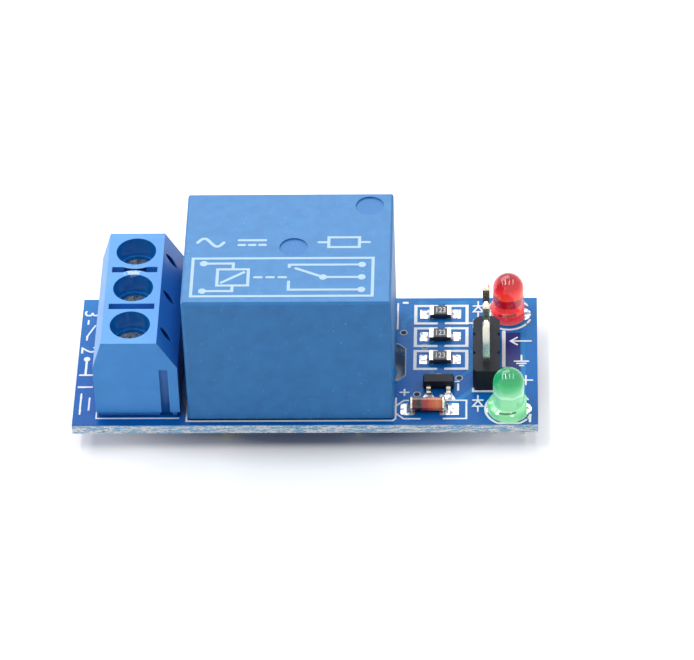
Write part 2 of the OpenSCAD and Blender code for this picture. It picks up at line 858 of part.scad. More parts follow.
module bent_lead(i) {
    z = transistor_lead_t / 2;
    root = transistor_w / 2;
    bend = 0.08;
    path = [for (p = [
        [root - 0.2, transistor_part_z], [root + 0.15, transistor_part_z],
        [root + 0.15 + bend, transistor_part_z - bend], [root + 0.3, z + bend],
        [root + 0.3 + bend, z], [transistor_toe, z]
    ]) [lead_side(i) * p[0], p[1]]];
    translate([lead_x(i), 0, 0]) along_x(transistor_lead_w) polygon(strip(path, transistor_lead_t));
}

module transistor_body() {
    color("black")
    at_transistor() difference() {
        intersection() {
            along_x(2 * transistor_l) drafted(transistor_w / 2);
            along_y(2 * transistor_l) drafted(transistor_l / 2);
        }
        for (i = [1:3]) bent_lead(i);
    }
}

module transistor_lead(i) {
    color("silver") at_transistor() bent_lead(i);
}

// Diode: a glass cylinder between two metal caps, lying along X
diode_cap_l = 0.26;

module at_diode() {
    on_board(diode_x, diode_y) translate([0, 0, diode_d / 2]) children();
}

module diode_glass() {
    l = diode_l - 2 * diode_cap_l;
    color("orangered")
    at_diode() rotate([0, 90, 0]) rod(diode_d / 2 - fit, -l / 2, l / 2);
}

module diode_cap(s) {
    r = diode_d / 2;
    edge = 0.1;
    color("silver")
    at_diode() translate([s * (diode_l / 2 - diode_cap_l), 0, 0]) rotate([0, s * 90, 0])
        rotate_extrude() polygon([
            [0, 0], [r, 0], [r, diode_cap_l - edge], [r - edge, diode_cap_l], [0, diode_cap_l]
        ]);
}

// ---- Solder ----

// Bell of solder under the board round one lead, with the filled hole above it
module solder_bell(p) {
    hole_r = p[2] / 2;
    spread = p[3] - hole_r;
    arc_r = (solder_h * solder_h + spread * spread) / (2 * spread);
    translate([p[0], p[1], 0]) difference() {
        union() {
            translate([0, 0, lead_trim]) rotate_extrude() difference() {
                translate([0, -solder_h]) square([p[3], solder_h]);
                translate([hole_r + arc_r, -solder_h]) circle(arc_r);
            }
            rod(hole_r, lead_trim - solder_h, top_z);
        }
        post(p[4], p[5], 0, top_z + cut);
    }
}

// Fillet on the board against an upright face at x = 0, spreading towards +X
module solder_fillet(w, h) {
    along_y(w) difference() {
        square(h);
        translate([h, h]) circle(h);
    }
}

module solder_joints() {
    color("gainsboro") {
        for (p = leads) solder_bell(p);
        for (i = [1:3], s = [-1, 1]) at_resistor(i)
            rotate([0, 0, s > 0 ? 0 : 180]) translate([chip_l / 2, 0, 0]) solder_fillet(1.15, 0.4);
        for (s = [-1, 1]) on_board(diode_x, diode_y)
            rotate([0, 0, s > 0 ? 0 : 180]) translate([diode_l / 2, 0, 0]) solder_fillet(1.2, 0.45);
        for (i = [1:3]) at_transistor() translate([lead_x(i), 0, 0])
            rotate([0, 0, lead_side(i) * 90]) translate([transistor_toe, 0, 0]) solder_fillet(0.7, 0.3);
    }
}

// ---- Nodes ----

circuit_board();
terminal_housing();
for (i = [1:3]) terminal_cage(i);
for (i = [1:3]) pressure_plate(i);
for (i = [1:3]) terminal_screw(i);
relay_cover();
relay_base();
relay_yoke();
coil_bobbin();
coil_winding();
coil_core();
coil_pin(-1);  // coil_pin_front
coil_pin(1);  // coil_pin_back
relay_armature();
contact_leaf();
moving_contact();
closed_terminal();
closed_contact();
open_terminal();
open_contact();
common_terminal();
header_housing();
for (i = [1:3]) header_pin_at(i);
color("red") at_red_lamp() lamp_lens(red_collar_d, red_collar_h, red_flat);  // red_lamp_lens
color("silver") at_red_lamp() lamp_anode();  // red_lamp_anode
color("silver") at_red_lamp() lamp_cathode();  // red_lamp_cathode
color("gold") at_red_lamp() lamp_chip();  // red_lamp_chip
color("limegreen") at_green_lamp() lamp_lens(green_collar_d, green_collar_h, green_flat);  // green_lamp_lens
color("silver") at_green_lamp() lamp_anode();  // green_lamp_anode
color("silver") at_green_lamp() lamp_cathode();  // green_lamp_cathode
color("gold") at_green_lamp() lamp_chip();  // green_lamp_chip
for (i = [1:3]) resistor_body(i);
for (i = [1:3]) resistor_glaze(i);
for (i = [1:3]) resistor_caps(i);
transistor_body();
for (i = [1:3]) transistor_lead(i);
diode_glass();
diode_cap(-1);  // diode_cap_left
diode_cap(1);  // diode_cap_right
solder_joints();
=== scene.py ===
"""Looks of the relay module board: finishes, board print, copper, lights and camera.

Sizes and places are in millimetres in the part's own frame, and become metres
where a mesh is made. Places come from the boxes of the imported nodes.
"""
import json
import math

import bmesh
import bpy
from mathutils import Matrix, Vector


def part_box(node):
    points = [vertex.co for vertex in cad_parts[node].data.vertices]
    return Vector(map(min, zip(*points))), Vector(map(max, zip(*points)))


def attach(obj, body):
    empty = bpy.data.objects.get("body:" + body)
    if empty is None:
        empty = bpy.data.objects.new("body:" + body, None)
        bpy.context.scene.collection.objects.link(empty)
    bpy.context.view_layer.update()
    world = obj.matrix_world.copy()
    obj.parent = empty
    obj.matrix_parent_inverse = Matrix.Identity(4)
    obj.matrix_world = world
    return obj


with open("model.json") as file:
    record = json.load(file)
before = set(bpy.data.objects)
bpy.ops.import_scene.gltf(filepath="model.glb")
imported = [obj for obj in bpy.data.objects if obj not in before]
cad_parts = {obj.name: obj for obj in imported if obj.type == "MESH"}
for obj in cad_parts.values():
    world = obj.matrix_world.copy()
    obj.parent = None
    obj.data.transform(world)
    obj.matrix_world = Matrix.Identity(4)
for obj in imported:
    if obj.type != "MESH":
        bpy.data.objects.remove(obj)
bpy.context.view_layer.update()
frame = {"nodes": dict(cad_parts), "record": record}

MM = 0.001


def box(node):
    """The lowest and highest corner of a node, in millimetres."""
    low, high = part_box(node)
    return low / MM, high / MM


def centre(node):
    low, high = box(node)
    return (low + high) / 2


BOARD_LOW, BOARD_HIGH = box("circuit_board")
TOP = BOARD_HIGH.z
UNDER = BOARD_LOW.z
COVER_LOW, COVER_HIGH = box("relay_cover")
BLOCK_LOW, BLOCK_HIGH = box("terminal_housing")
HEADER_LOW, HEADER_HIGH = box("header_housing")

LAMP_H = box("red_lamp_lens")[1].z - TOP
RESISTORS = (1, 2, 3)
POLES = [centre(f"terminal_screw_{i}") for i in (1, 2, 3)]

# Thickness of the layers on the board, each seen above the last
SINK = 0.02
TRACK_TOP = 0.012
PAD_H = 0.035
PRINT_H = 0.045
INK_H = 0.015

# Widths of printed lines, and the frames round the resistors
LINE = 0.3
THIN = 0.17
FRAME_REACH = 2.42
FRAME_SHIFT = 0.08

# An empty collection, so that merge() joins a piece only with itself
NOTHING = bpy.data.collections.new("nothing")


# ---- Thin solids ----

def arc(x, y, r, start, end, steps=16):
    """Points along an arc, with angles in degrees."""
    angles = [math.radians(start + (end - start) * i / steps) for i in range(steps + 1)]
    return [(x + r * math.cos(a), y + r * math.sin(a)) for a in angles]


def offsets(path, half, closed):
    """The points half a width to the left and right of a path, with mitred corners."""
    count = len(path)
    left, right = [], []
    for i, point in enumerate(path):
        here = Vector(point)
        before = Vector(path[i - 1]) if closed or i else None
        after = Vector(path[(i + 1) % count]) if closed or i < count - 1 else None
        ways = []
        if before is not None:
            ways.append((here - before).normalized())
        if after is not None:
            ways.append((after - here).normalized())
        sides = [Vector((-way.y, way.x)) for way in ways]
        middle = sum(sides, Vector((0, 0))).normalized()
        reach = middle * (half / max(middle.dot(sides[0]), 0.35))
        left.append(here + reach)
        right.append(here - reach)
    return left, right


def merge(thing):
    """Joins the overlapping solids of one mesh, worked out at a larger scale for its precision."""
    thing.data.transform(Matrix.Scale(1 / MM, 4))
    union = thing.modifiers.new("union", "BOOLEAN")
    union.operation = "UNION"
    union.solver = "EXACT"
    union.operand_type = "COLLECTION"
    union.collection = NOTHING
    union.use_self = True
    bpy.context.view_layer.update()
    depsgraph = bpy.context.evaluated_depsgraph_get()
    whole = bpy.data.meshes.new_from_object(thing.evaluated_get(depsgraph))
    thing.modifiers.clear()
    whole.transform(Matrix.Scale(MM, 4))
    old, thing.data = thing.data, whole
    bpy.data.meshes.remove(old)
    whole.name = thing.name


class Solids:
    """Closed thin solids that become one piece."""

    def __init__(self, low, high):
        self.mesh = bmesh.new()
        self.low = low
        self.high = high

    def ring_of(self, points, z):
        return [self.mesh.verts.new((x * MM, y * MM, z * MM)) for x, y in points]

    def outline(self, points):
        """A flat plate with this outline, counter-clockwise seen from above."""
        bottom = self.ring_of(points, self.low)
        top = self.ring_of(points, self.high)
        self.mesh.faces.new(top)
        self.mesh.faces.new(bottom[::-1])
        for i in range(len(points)):
            j = (i + 1) % len(points)
            self.mesh.faces.new((bottom[i], bottom[j], top[j], top[i]))

    def plate(self, x0, y0, x1, y1, corner=0.0):
        """A rectangular plate, with round corners if corner isn't 0."""
        if not corner:
            self.outline([(x0, y0), (x1, y0), (x1, y1), (x0, y1)])
            return
        centres = [(x1 - corner, y1 - corner, 0), (x0 + corner, y1 - corner, 90),
                   (x0 + corner, y0 + corner, 180), (x1 - corner, y0 + corner, 270)]
        self.outline([p for x, y, a in centres for p in arc(x, y, corner, a, a + 90, 4)])

    def disc(self, x, y, r):
        self.outline(arc(x, y, r, 0, 360, 32)[:-1])

    def stroke(self, path, width):
        """A line of constant width with round ends."""
        half = width / 2
        left, right = offsets(path, half, False)
        (x0, y0), (x1, y1) = path[0], path[-1]
        start = math.degrees(math.atan2(*(left[0] - Vector(path[0])).yx))
        end = math.degrees(math.atan2(*(right[-1] - Vector(path[-1])).yx))
        head = arc(x0, y0, half, start, start + 180, 6)
        tail = arc(x1, y1, half, end, end + 180, 6)
        self.outline(head[:-1] + [tuple(p) for p in right[:-1]][1:] + tail[:-1]
                     + [tuple(p) for p in left[::-1]][:-1])

    def band(self, path, width):
        """A closed line of constant width."""
        left, right = offsets(path, width / 2, True)
        rings = [self.ring_of(points, z) for points, z in
                 ((left, self.low), (left, self.high), (right, self.high), (right, self.low))]
        for i in range(len(path)):
            j = (i + 1) % len(path)
            for k in range(4):
                a, b = rings[k], rings[(k + 1) % 4]
                self.mesh.faces.new((a[i], a[j], b[j], b[i]))

    def ring(self, x, y, inner, outer):
        self.band(arc(x, y, (inner + outer) / 2, 0, 360, 36)[:-1], outer - inner)

    def number(self, text, x, y, height, angle=0, narrow=1.0):
        """A plain number, centred on a point."""
        curve = bpy.data.curves.new("number", "FONT")
        curve.body = text
        curve.size = height / 0.7
        curve.align_x = "CENTER"
        curve.align_y = "CENTER"
        curve.resolution_u = 3
        curve.extrude = (self.high - self.low) / 2
        piece = bpy.data.objects.new("number", curve)
        bpy.context.scene.collection.objects.link(piece)
        bpy.context.view_layer.update()
        depsgraph = bpy.context.evaluated_depsgraph_get()
        mesh = bpy.data.meshes.new_from_object(piece.evaluated_get(depsgraph))
        place = Matrix.Translation((x * MM, y * MM, (self.low + self.high) / 2 * MM))
        mesh.transform(place @ Matrix.Rotation(math.radians(angle), 4, "Z")
                       @ Matrix.Diagonal((MM * narrow, MM, MM, 1)))
        self.mesh.from_mesh(mesh)
        bpy.data.objects.remove(piece)
        bpy.data.curves.remove(curve)
        bpy.data.meshes.remove(mesh)

    def piece(self, name, material, slot, body="module"):
        """Makes these solids one piece, riding on a body."""
        bmesh.ops.remove_doubles(self.mesh, verts=self.mesh.verts, dist=1e-8)
        bmesh.ops.recalc_face_normals(self.mesh, faces=self.mesh.faces)
        mesh = bpy.data.meshes.new(name)
        self.mesh.to_mesh(mesh)
        self.mesh.free()
        thing = bpy.data.objects.new(name, mesh)
        bpy.context.scene.collection.objects.link(thing)
        merge(thing)
        thing.data.materials.append(material)
        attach(thing, body)


# ---- Materials ----

def srgb(red, green, blue):
    """A linear colour from display values of 0 to 255."""
    def linear(value):
        value /= 255
        return value / 12.92 if value <= 0.04045 else ((value + 0.055) / 1.055) ** 2.4
    return (linear(red), linear(green), linear(blue), 1.0)


class Finish:
    """A material with one Principled shader, in object coordinates of one unit a millimetre."""

    def __init__(self, name, **inputs):
        self.material = bpy.data.materials.new(name)
        self.material.use_nodes = True
        self.tree = self.material.node_tree
        self.shader = self.tree.nodes["Principled BSDF"]
        for socket, value in inputs.items():
            self.shader.inputs[socket.replace("_", " ")].default_value = value
        self.place = self.add("ShaderNodeVectorMath", operation="SCALE")
        self.place.inputs["Scale"].default_value = 1 / MM
        self.tree.links.new(self.add("ShaderNodeTexCoord").outputs["Object"], self.place.inputs[0])
        self.at = self.place.outputs[0]

    def add(self, kind, **settings):
        node = self.tree.nodes.new(kind)
        for name, value in settings.items():
            setattr(node, name, value)
        return node

    def put(self, node, socket, value):
        """Links an output to a socket, or sets the socket to a value."""
        if isinstance(value, bpy.types.NodeSocket):
            self.tree.links.new(value, node.inputs[socket])
        else:
            node.inputs[socket].default_value = value

    def set(self, socket, value):
        self.put(self.shader, socket, value)

    def math(self, operation, a, b=0.0):
        node = self.add("ShaderNodeMath", operation=operation)
        self.put(node, 0, a)
        self.put(node, 1, b)
        return node.outputs[0]

    def stretch(self, x, y, z):
        """The coordinates, scaled along each axis."""
        node = self.add("ShaderNodeVectorMath", operation="MULTIPLY")
        self.put(node, 0, self.at)
        self.put(node, 1, (x, y, z))
        return node.outputs[0]

    def distance(self, scale, x, y, z=0.0):
        """How far a place is from a point, with each axis scaled."""
        node = self.add("ShaderNodeVectorMath", operation="DISTANCE")
        self.put(node, 0, self.stretch(*scale))
        self.put(node, 1, (x * scale[0], y * scale[1], z * scale[2]))
        return node.outputs["Value"]

    def axis(self, letter):
        node = self.add("ShaderNodeSeparateXYZ")
        self.put(node, 0, self.at)
        return node.outputs[letter]

    def facing(self, axis):
        """One axis of the surface normal."""
        normal = self.add("ShaderNodeSeparateXYZ")
        self.put(normal, 0, self.add("ShaderNodeNewGeometry").outputs["Normal"])
        return normal.outputs[axis]

    def noise(self, scale, detail=2.0, where=None):
        node = self.add("ShaderNodeTexNoise")
        self.put(node, "Vector", where or self.at)
        self.put(node, "Scale", scale)
        self.put(node, "Detail", detail)
        return node.outputs["Fac"]

    def range(self, value, low, high, to_low=0.0, to_high=1.0):
        node = self.add("ShaderNodeMapRange")
        self.put(node, "Value", value)
        self.put(node, "From Min", low)
        self.put(node, "From Max", high)
        self.put(node, "To Min", to_low)
        self.put(node, "To Max", to_high)
        return node.outputs[0]

    def mix(self, factor, a, b):
        """A colour between a and b."""
        node = self.add("ShaderNodeMix", data_type="RGBA")
        self.put(node, "Factor", factor)
        self.put(node, 6, a)
        self.put(node, 7, b)
        return node.outputs[2]

    def ramp(self, factor, stops):
        """A colour from a list of (place, colour), with places from 0 to 1."""
        node = self.add("ShaderNodeValToRGB")
        self.put(node, "Fac", factor)
        elements = node.color_ramp.elements
        while len(elements) < len(stops):
            elements.new(0.5)
        for element, (place, colour) in zip(elements, stops):
            element.position = place
            element.color = srgb(*colour)
        return node.outputs["Color"]

    def between(self, value, low, high):
        """1 where the value lies from low to high, and 0 elsewhere."""
        above = self.math("GREATER_THAN", value, low)
        return self.math("MULTIPLY", above, self.math("LESS_THAN", value, high))

    def edges(self, radius):
        """1 along sharp edges and 0 on flat faces."""
        bevel = self.add("ShaderNodeBevel", samples=6)
        bevel.inputs["Radius"].default_value = radius * MM
        dot = self.add("ShaderNodeVectorMath", operation="DOT_PRODUCT")
        self.put(dot, 0, bevel.outputs[0])
        self.put(dot, 1, self.add("ShaderNodeNewGeometry").outputs["Normal"])
        return self.range(dot.outputs["Value"], 0.99, 0.86)

    def near(self, value, places, reach):
        """1 where the value lies within reach of one of the places."""
        found = 0.0
        for place in places:
            gap = self.math("ABSOLUTE", self.math("SUBTRACT", value, place))
            found = self.math("ADD", found, self.math("LESS_THAN", gap, reach))
        return found

    def all_of(self, *masks):
        product = 1.0
        for mask in masks:
            product = self.math("MULTIPLY", product, mask)
        return product

    def relief(self, height, depth, edge=0.0):
        """Bump of a depth in millimetres, on edges that are rounded to the eye."""
        bump = self.add("ShaderNodeBump")
        self.put(bump, "Height", height)
        self.put(bump, "Distance", depth * MM)
        if edge:
            bevel = self.add("ShaderNodeBevel", samples=6)
            bevel.inputs["Radius"].default_value = edge * MM
            self.put(bump, "Normal", bevel.outputs[0])
        self.set("Normal", bump.outputs[0])


def moulded(name, colour, roughness, grain=0.004, edge=0.06, shift=0.08, **inputs):
    """Moulded plastic: faint flow marks, spark-eroded grain and softened edges."""
    f = Finish(name, Roughness=roughness, **inputs)
    cloud = f.range(f.noise(0.35, 3), 0.3, 0.7)
    dark = tuple(c * (1 - shift) for c in colour[:3]) + (1,)
    pale = tuple(min(1, c * (1 + shift)) for c in colour[:3]) + (1,)
    f.set("Base Color", f.mix(cloud, dark, pale))
    fine = f.noise(14, 3)
    f.set("Roughness", f.range(fine, 0.3, 0.7, roughness - 0.05, roughness + 0.06))
    f.relief(fine, grain, edge)
    return f.material


# The terminal block's cavities, where its CAD solid has them
WELL_REACH = 1.88
SIGHT_FOOT = TOP + 6.2
SIGHT_INSET = 0.92
SIGHT_HALF = 0.41
DIVIDER_FLOOR = TOP + 6.5
DIVIDER_HALF = (2.14, 0.34)
GROOVE_X = BLOCK_LOW.x + 6.45
GROOVE_TOP = TOP + 6.0


def well_mask(f, below):
    """1 inside the screwdriver wells."""
    wells = 0.0
    for pole in POLES:
        away = f.distance((1, 1, 0), pole.x, pole.y)
        wells = f.math("ADD", wells, f.math("LESS_THAN", away, WELL_REACH))
    return f.math("MULTIPLY", wells, below)


def sight_mask(f, below):
    """1 inside the sight holes of the sloping flank, measured down from its plane."""
    x, y, z = f.axis("X"), f.axis("Y"), f.axis("Z")
    top_edge = Vector((2 * POLES[0].x - BLOCK_LOW.x - SIGHT_INSET, 0, BLOCK_HIGH.z))
    foot = Vector((BLOCK_HIGH.x, 0, SIGHT_FOOT))
    slope = (foot - top_edge).normalized()
    rise = f.math("SUBTRACT", f.math("MULTIPLY", z, slope.x), f.math("MULTIPLY", x, slope.z))
    depth = f.math("SUBTRACT", slope.x * top_edge.z - slope.z * top_edge.x, rise)
    return f.all_of(f.near(y, [p.y for p in POLES], SIGHT_HALF),
                    f.math("GREATER_THAN", x, top_edge.x - 0.6), f.math("GREATER_THAN", depth, 0.05),
                    f.math("GREATER_THAN", z, foot.z), below)


def divider_mask(f, below):
    """1 inside the slots between the wells."""
    middles = [(POLES[i].y + POLES[i + 1].y) / 2 for i in (0, 1)]
    half_x, half_y = DIVIDER_HALF
    return f.all_of(f.near(f.axis("Y"), middles, half_y), f.near(f.axis("X"), [POLES[0].x], half_x),
                    below, f.math("GREATER_THAN", f.axis("Z"), DIVIDER_FLOOR))


def strain_mask(f):
    """A ragged pale patch on the thin wall behind the middle well."""
    spot = f.distance((0.55, 1, 1.6), POLES[1].x - 0.2, POLES[1].y + 2.05, BLOCK_HIGH.z)
    ragged = f.math("ADD", spot, f.range(f.noise(3, 3), 0.3, 0.7, -0.25, 0.25))
    return f.range(ragged, 0.25, 0.45, 0.75, 0.0)


def terminal_plastic():
    """Moulded plastic with painted light: painted shade in its cavities, its groove and on the flank
    beside the relay, painted highlights along its edges and a painted sheen on faces that look up;
    white where it was strained.
    """
    f = Finish("terminal_plastic", Specular_IOR_Level=0.3, Coat_Roughness=0.05)
    y, z = f.axis("Y"), f.axis("Z")
    cloud = f.range(f.noise(0.35, 3), 0.3, 0.7)
    colour = f.mix(cloud, srgb(64, 150, 230), srgb(72, 159, 240))
    # Faces that look up are paler: a painted sheen of the light from above.
    colour = f.mix(f.range(f.facing("Z"), 0.5, 0.9, 0.0, 0.1), colour, srgb(190, 216, 240))
    # Pale lines along the edges: painted highlights where the edges catch the light.
    colour = f.mix(f.math("MULTIPLY", f.edges(0.07), 0.5), colour, srgb(150, 206, 250))

    # Painted shade on the flank that faces the relay, deeper lower down, where the relay shades it.
    height = f.range(z, TOP + 4, BLOCK_HIGH.z, 0.85, 0.4)
    painted_flank_shade = f.math("MULTIPLY", f.range(f.facing("X"), 0.1, 0.6), height)
    colour = f.mix(painted_flank_shade, colour, srgb(0, 66, 150))
    # Painted shade inside the wells, the sight holes and the slots between the wells.
    below = f.math("LESS_THAN", z, BLOCK_HIGH.z - 0.02)
    wells = well_mask(f, below)
    colour = f.mix(wells, colour, srgb(16, 128, 204))
    narrow = f.math("MAXIMUM", sight_mask(f, below), divider_mask(f, below))
    colour = f.mix(narrow, colour, srgb(6, 66, 144))
    # Painted shade in the groove on the front face, deeper towards its foot.
    groove = f.all_of(f.between(y, BLOCK_LOW.y + 0.12, BLOCK_LOW.y + 1.0),
                      f.math("LESS_THAN", z, GROOVE_TOP - 0.03), f.near(f.axis("X"), [GROOVE_X], 0.6))
    shade = f.math("MULTIPLY", groove, f.range(z, GROOVE_TOP, TOP + 0.5, 0.3, 0.95))
    colour = f.mix(shade, colour, srgb(0, 92, 172))
    f.set("Base Color", f.mix(strain_mask(f), colour, srgb(206, 228, 246)))

    fine = f.noise(14, 3)
    polish = f.add("ShaderNodeMix")
    for socket, value in (("Factor", wells), ("A", f.range(fine, 0.3, 0.7, 0.33, 0.44)), ("B", 0.1)):
        f.put(polish, socket, value)
    f.set("Roughness", polish.outputs["Result"])
    f.set("Coat Weight", f.range(wells, 0, 1, 0.1, 0.35))
    f.relief(fine, 0.004, 0.06)
    return f.material


def relay_plastic():
    """Moulded plastic with eroded grain, mottled and flecked, with a painted sheen on faces that look
    up, painted shade in the sunk marks on its top and painted highlights along its edges.
    """
    f = Finish("relay_plastic")
    mottle = f.range(f.noise(0.9, 4), 0.3, 0.7)
    colour = f.mix(mottle, srgb(20, 116, 186), srgb(30, 128, 198))
    # Faces that look up are paler: a painted sheen of the light from above.
    upward = f.range(f.facing("Z"), 0.5, 0.9)
    colour = f.mix(f.math("MULTIPLY", upward, 0.07), colour, srgb(190, 214, 214))
    # The sunk marks on the top are darker: painted shade in those recesses.
    sunk = f.math("MULTIPLY", upward, f.math("LESS_THAN", f.axis("Z"), COVER_HIGH.z - 0.05))
    colour = f.mix(f.math("MULTIPLY", sunk, 0.5), colour, srgb(20, 110, 186))
    flecks = f.range(f.noise(4.5, 1), 0.74, 0.78, 0.0, 0.55)
    colour = f.mix(flecks, colour, srgb(130, 190, 236))
    # Pale lines along the edges: painted highlights where the edges catch the light.
    f.set("Base Color", f.mix(f.math("MULTIPLY", f.edges(0.07), 0.5), colour, srgb(130, 188, 232)))
    fine = f.noise(14, 3)
    f.set("Roughness", f.range(fine, 0.3, 0.7, 0.37, 0.48))
    f.relief(fine, 0.006, 0.06)
    return f.material


def metal(name, colour, roughness, grain=0.004, edge=0.03, streak=(1, 1, 1)):
    """Rolled, drawn or plated metal, with fine streaks along one axis."""
    f = Finish(name, Metallic=1.0)
    lines = f.noise(9, 4, f.stretch(*streak))
    dull = tuple(c * 0.82 for c in colour[:3]) + (1,)
    f.set("Base Color", f.mix(f.range(lines, 0.35, 0.65), dull, colour))
    f.set("Roughness", f.range(lines, 0.3, 0.7, roughness - 0.06, roughness + 0.1))
    f.relief(lines, grain, edge)
    return f.material


def solder():
    """Bright solder: smooth, with slow ripples, dull frosted spots and grey patches painted in as
    reflections.
    """
    f = Finish("solder", Metallic=0.75)
    ripple = f.noise(1.6, 2)
    frost = f.range(f.noise(5, 3), 0.4, 0.7)
    # Grey patches painted in as the dark reflections that domed solder shows.
    painted_reflections = f.range(f.noise(2.4, 2), 0.52, 0.62)
    colour = f.mix(frost, srgb(248, 248, 250), srgb(224, 226, 232))
    f.set("Base Color", f.mix(painted_reflections, colour, srgb(120, 126, 140)))
    f.set("Roughness", f.range(frost, 0, 1, 0.3, 0.5))
    f.relief(ripple, 0.03)
    return f.material


MASK_BLUE = srgb(6, 100, 184)
MASK_DEEP = srgb(10, 84, 162)
MASK_TRACE = srgb(30, 124, 188)
MASK_BARE = srgb(48, 40, 112)
MASK_PAINTED_SHEEN = srgb(40, 134, 200)
CUT_GLASS = srgb(254, 255, 255)
CUT_RESIN = srgb(166, 210, 240)
CUT_BLUE = srgb(104, 160, 206)


def mask_weave(f):
    """The glass cloth that shows faintly through the lacquer, from 0 to 1."""
    warp = f.math("SINE", f.math("MULTIPLY", f.axis("X"), 11.0))
    weft = f.math("SINE", f.math("MULTIPLY", f.axis("Y"), 11.0))
    return f.range(f.math("MULTIPLY", warp, weft), -1, 1)


def laminate():
    """The board: blue lacquer on both faces, paler towards the back as a painted reflection, and bare
    glass cloth on its cut edges.
    """
    f = Finish("board_laminate", Specular_IOR_Level=0.14)
    cloud = f.range(f.noise(0.16, 3), 0.35, 0.65)
    lacquer = f.mix(cloud, MASK_DEEP, MASK_BLUE)
    lacquer = f.mix(f.math("MULTIPLY", mask_weave(f), 0.15), lacquer, MASK_TRACE)
    bare = f.all_of(f.between(f.axis("X"), HEADER_HIGH.x + 0.45, HEADER_HIGH.x + 2.1),
                    f.between(f.axis("Y"), HEADER_LOW.y + 2.6, HEADER_HIGH.y + 0.3),
                    f.math("GREATER_THAN", f.axis("Z"), UNDER + 0.5))
    # Paler towards the back: a painted reflection of the soft box behind.
    lacquer = f.mix(f.range(f.axis("Y"), -3, 9, 0.0, 0.6), lacquer, MASK_PAINTED_SHEEN)
    lacquer = f.mix(f.math("MULTIPLY", bare, 0.85), lacquer, MASK_BARE)

    bundles = f.noise(1.0, 2, f.stretch(0.9, 0.9, 5.0))
    threads = f.noise(3.0, 3, f.stretch(1.4, 1.4, 7.0))
    glass = f.mix(f.range(bundles, 0.44, 0.54), CUT_RESIN, CUT_GLASS)
    glass = f.mix(f.range(threads, 0.54, 0.62), glass, CUT_BLUE)
    rim = f.math("GREATER_THAN", f.axis("Z"), TOP - 0.07)
    glass = f.mix(f.math("MULTIPLY", rim, 0.8), glass, MASK_TRACE)

    side = f.math("LESS_THAN", f.math("ABSOLUTE", f.facing("Z")), 0.5)
    f.set("Base Color", f.mix(side, lacquer, glass))
    f.set("Roughness", f.range(side, 0, 1, 0.26, 0.75))
    f.relief(f.mix(side, mask_weave(f), threads), 0.006)
    return f.material


def lacquered_copper():
    """Tracks under the lacquer, paler than the bare laminate beside them."""
    f = Finish("lacquered_copper", Specular_IOR_Level=0.14, Roughness=0.3)
    cloud = f.range(f.noise(0.5, 3), 0.35, 0.65)
    f.set("Base Color", f.mix(cloud, srgb(26, 116, 186), srgb(34, 138, 204)))
    f.relief(f.noise(3, 2), 0.006, 0.03)
    return f.material


def ink(name, colour):
    """Screen-printed ink: chalky, a little thin and uneven at its edges."""
    f = Finish(name, Roughness=0.6)
    thin = f.range(f.noise(3.5, 4), 0.28, 0.5)
    worn = tuple(c * 0.94 for c in colour[:3]) + (1,)
    f.set("Base Color", f.mix(thin, worn, colour))
    f.relief(f.noise(12, 2), 0.004)
    return f.material


def lamp_epoxy(name, lamp, radius, dark, stops):
    """Tinted glossy epoxy, toned at each height partly by what is inside and partly by painted light
    and shade, with a painted glow for the light carried through it and a crescent of painted shade on
    the front of its foot.
    """
    # The emission is a painted glow that stands in for light carried through the epoxy.
    f = Finish(name, Roughness=0.05, IOR=1.53, Transmission_Weight=0.1, Subsurface_Weight=0.5,
               Subsurface_Radius=radius, Subsurface_Scale=0.8 * MM, Emission_Strength=0.4,
               Coat_Weight=0.45, Coat_Roughness=0.03)
    x, y, z = f.axis("X"), f.axis("Y"), f.axis("Z")
    sway = f.math("MULTIPLY", f.noise(0.9, 1), f.range(z, TOP + 0.9, TOP + 2.0, 0.0, 0.5))
    height = f.range(f.math("ADD", z, sway), TOP, TOP + LAMP_H + 0.25)
    tones = f.ramp(height, [(h / LAMP_H, colour) for h, colour in stops])
    middle = centre(lamp)
    away = f.distance((1, 1, 0), middle.x, middle.y)
    # A crescent of painted shade on the front of the foot, where the dome meets the collar.
    painted_crescent_shade = f.all_of(f.between(away, 1.5, 1.7), f.near(x, [middle.x], 0.85),
                        f.math("LESS_THAN", y, middle.y - 1.0), f.math("LESS_THAN", z, TOP + 1.6),
                        f.math("GREATER_THAN", f.facing("Z"), 0.5))
    tones = f.mix(f.math("MULTIPLY", painted_crescent_shade, 0.8), tones, dark)
    f.set("Base Color", tones)
    f.set("Emission Color", tones)
    f.relief(f.noise(0.8, 2), 0.003)
    return f.material


# Height over the board in millimetres, and the tone there. The tones stand partly for the parts inside
# each lamp and partly hold painted light: pale bands as painted reflections and dark bands as painted
# shade.
RED_TONES = [
    (0.0, (255, 170, 166)), (0.25, (230, 80, 84)), (0.5, (232, 44, 48)), (1.05, (240, 56, 56)),
    (1.25, (255, 72, 60)), (1.95, (255, 56, 46)), (2.1, (186, 20, 34)), (2.95, (176, 20, 34)),
    (3.02, (255, 82, 56)), (3.5, (255, 60, 46)), (4.0, (224, 36, 40)), (4.8, (150, 12, 22))
]
GREEN_TONES = [
    (0.0, (206, 244, 214)), (0.2, (140, 220, 162)), (0.7, (112, 206, 142)), (0.95, (190, 246, 204)),
    (1.1, (144, 226, 168)), (2.5, (138, 220, 168)), (2.65, (190, 246, 206)), (2.85, (144, 220, 172)),
    (3.5, (70, 192, 126)), (4.0, (36, 172, 100)), (4.4, (36, 156, 98)), (4.8, (36, 140, 94))
]


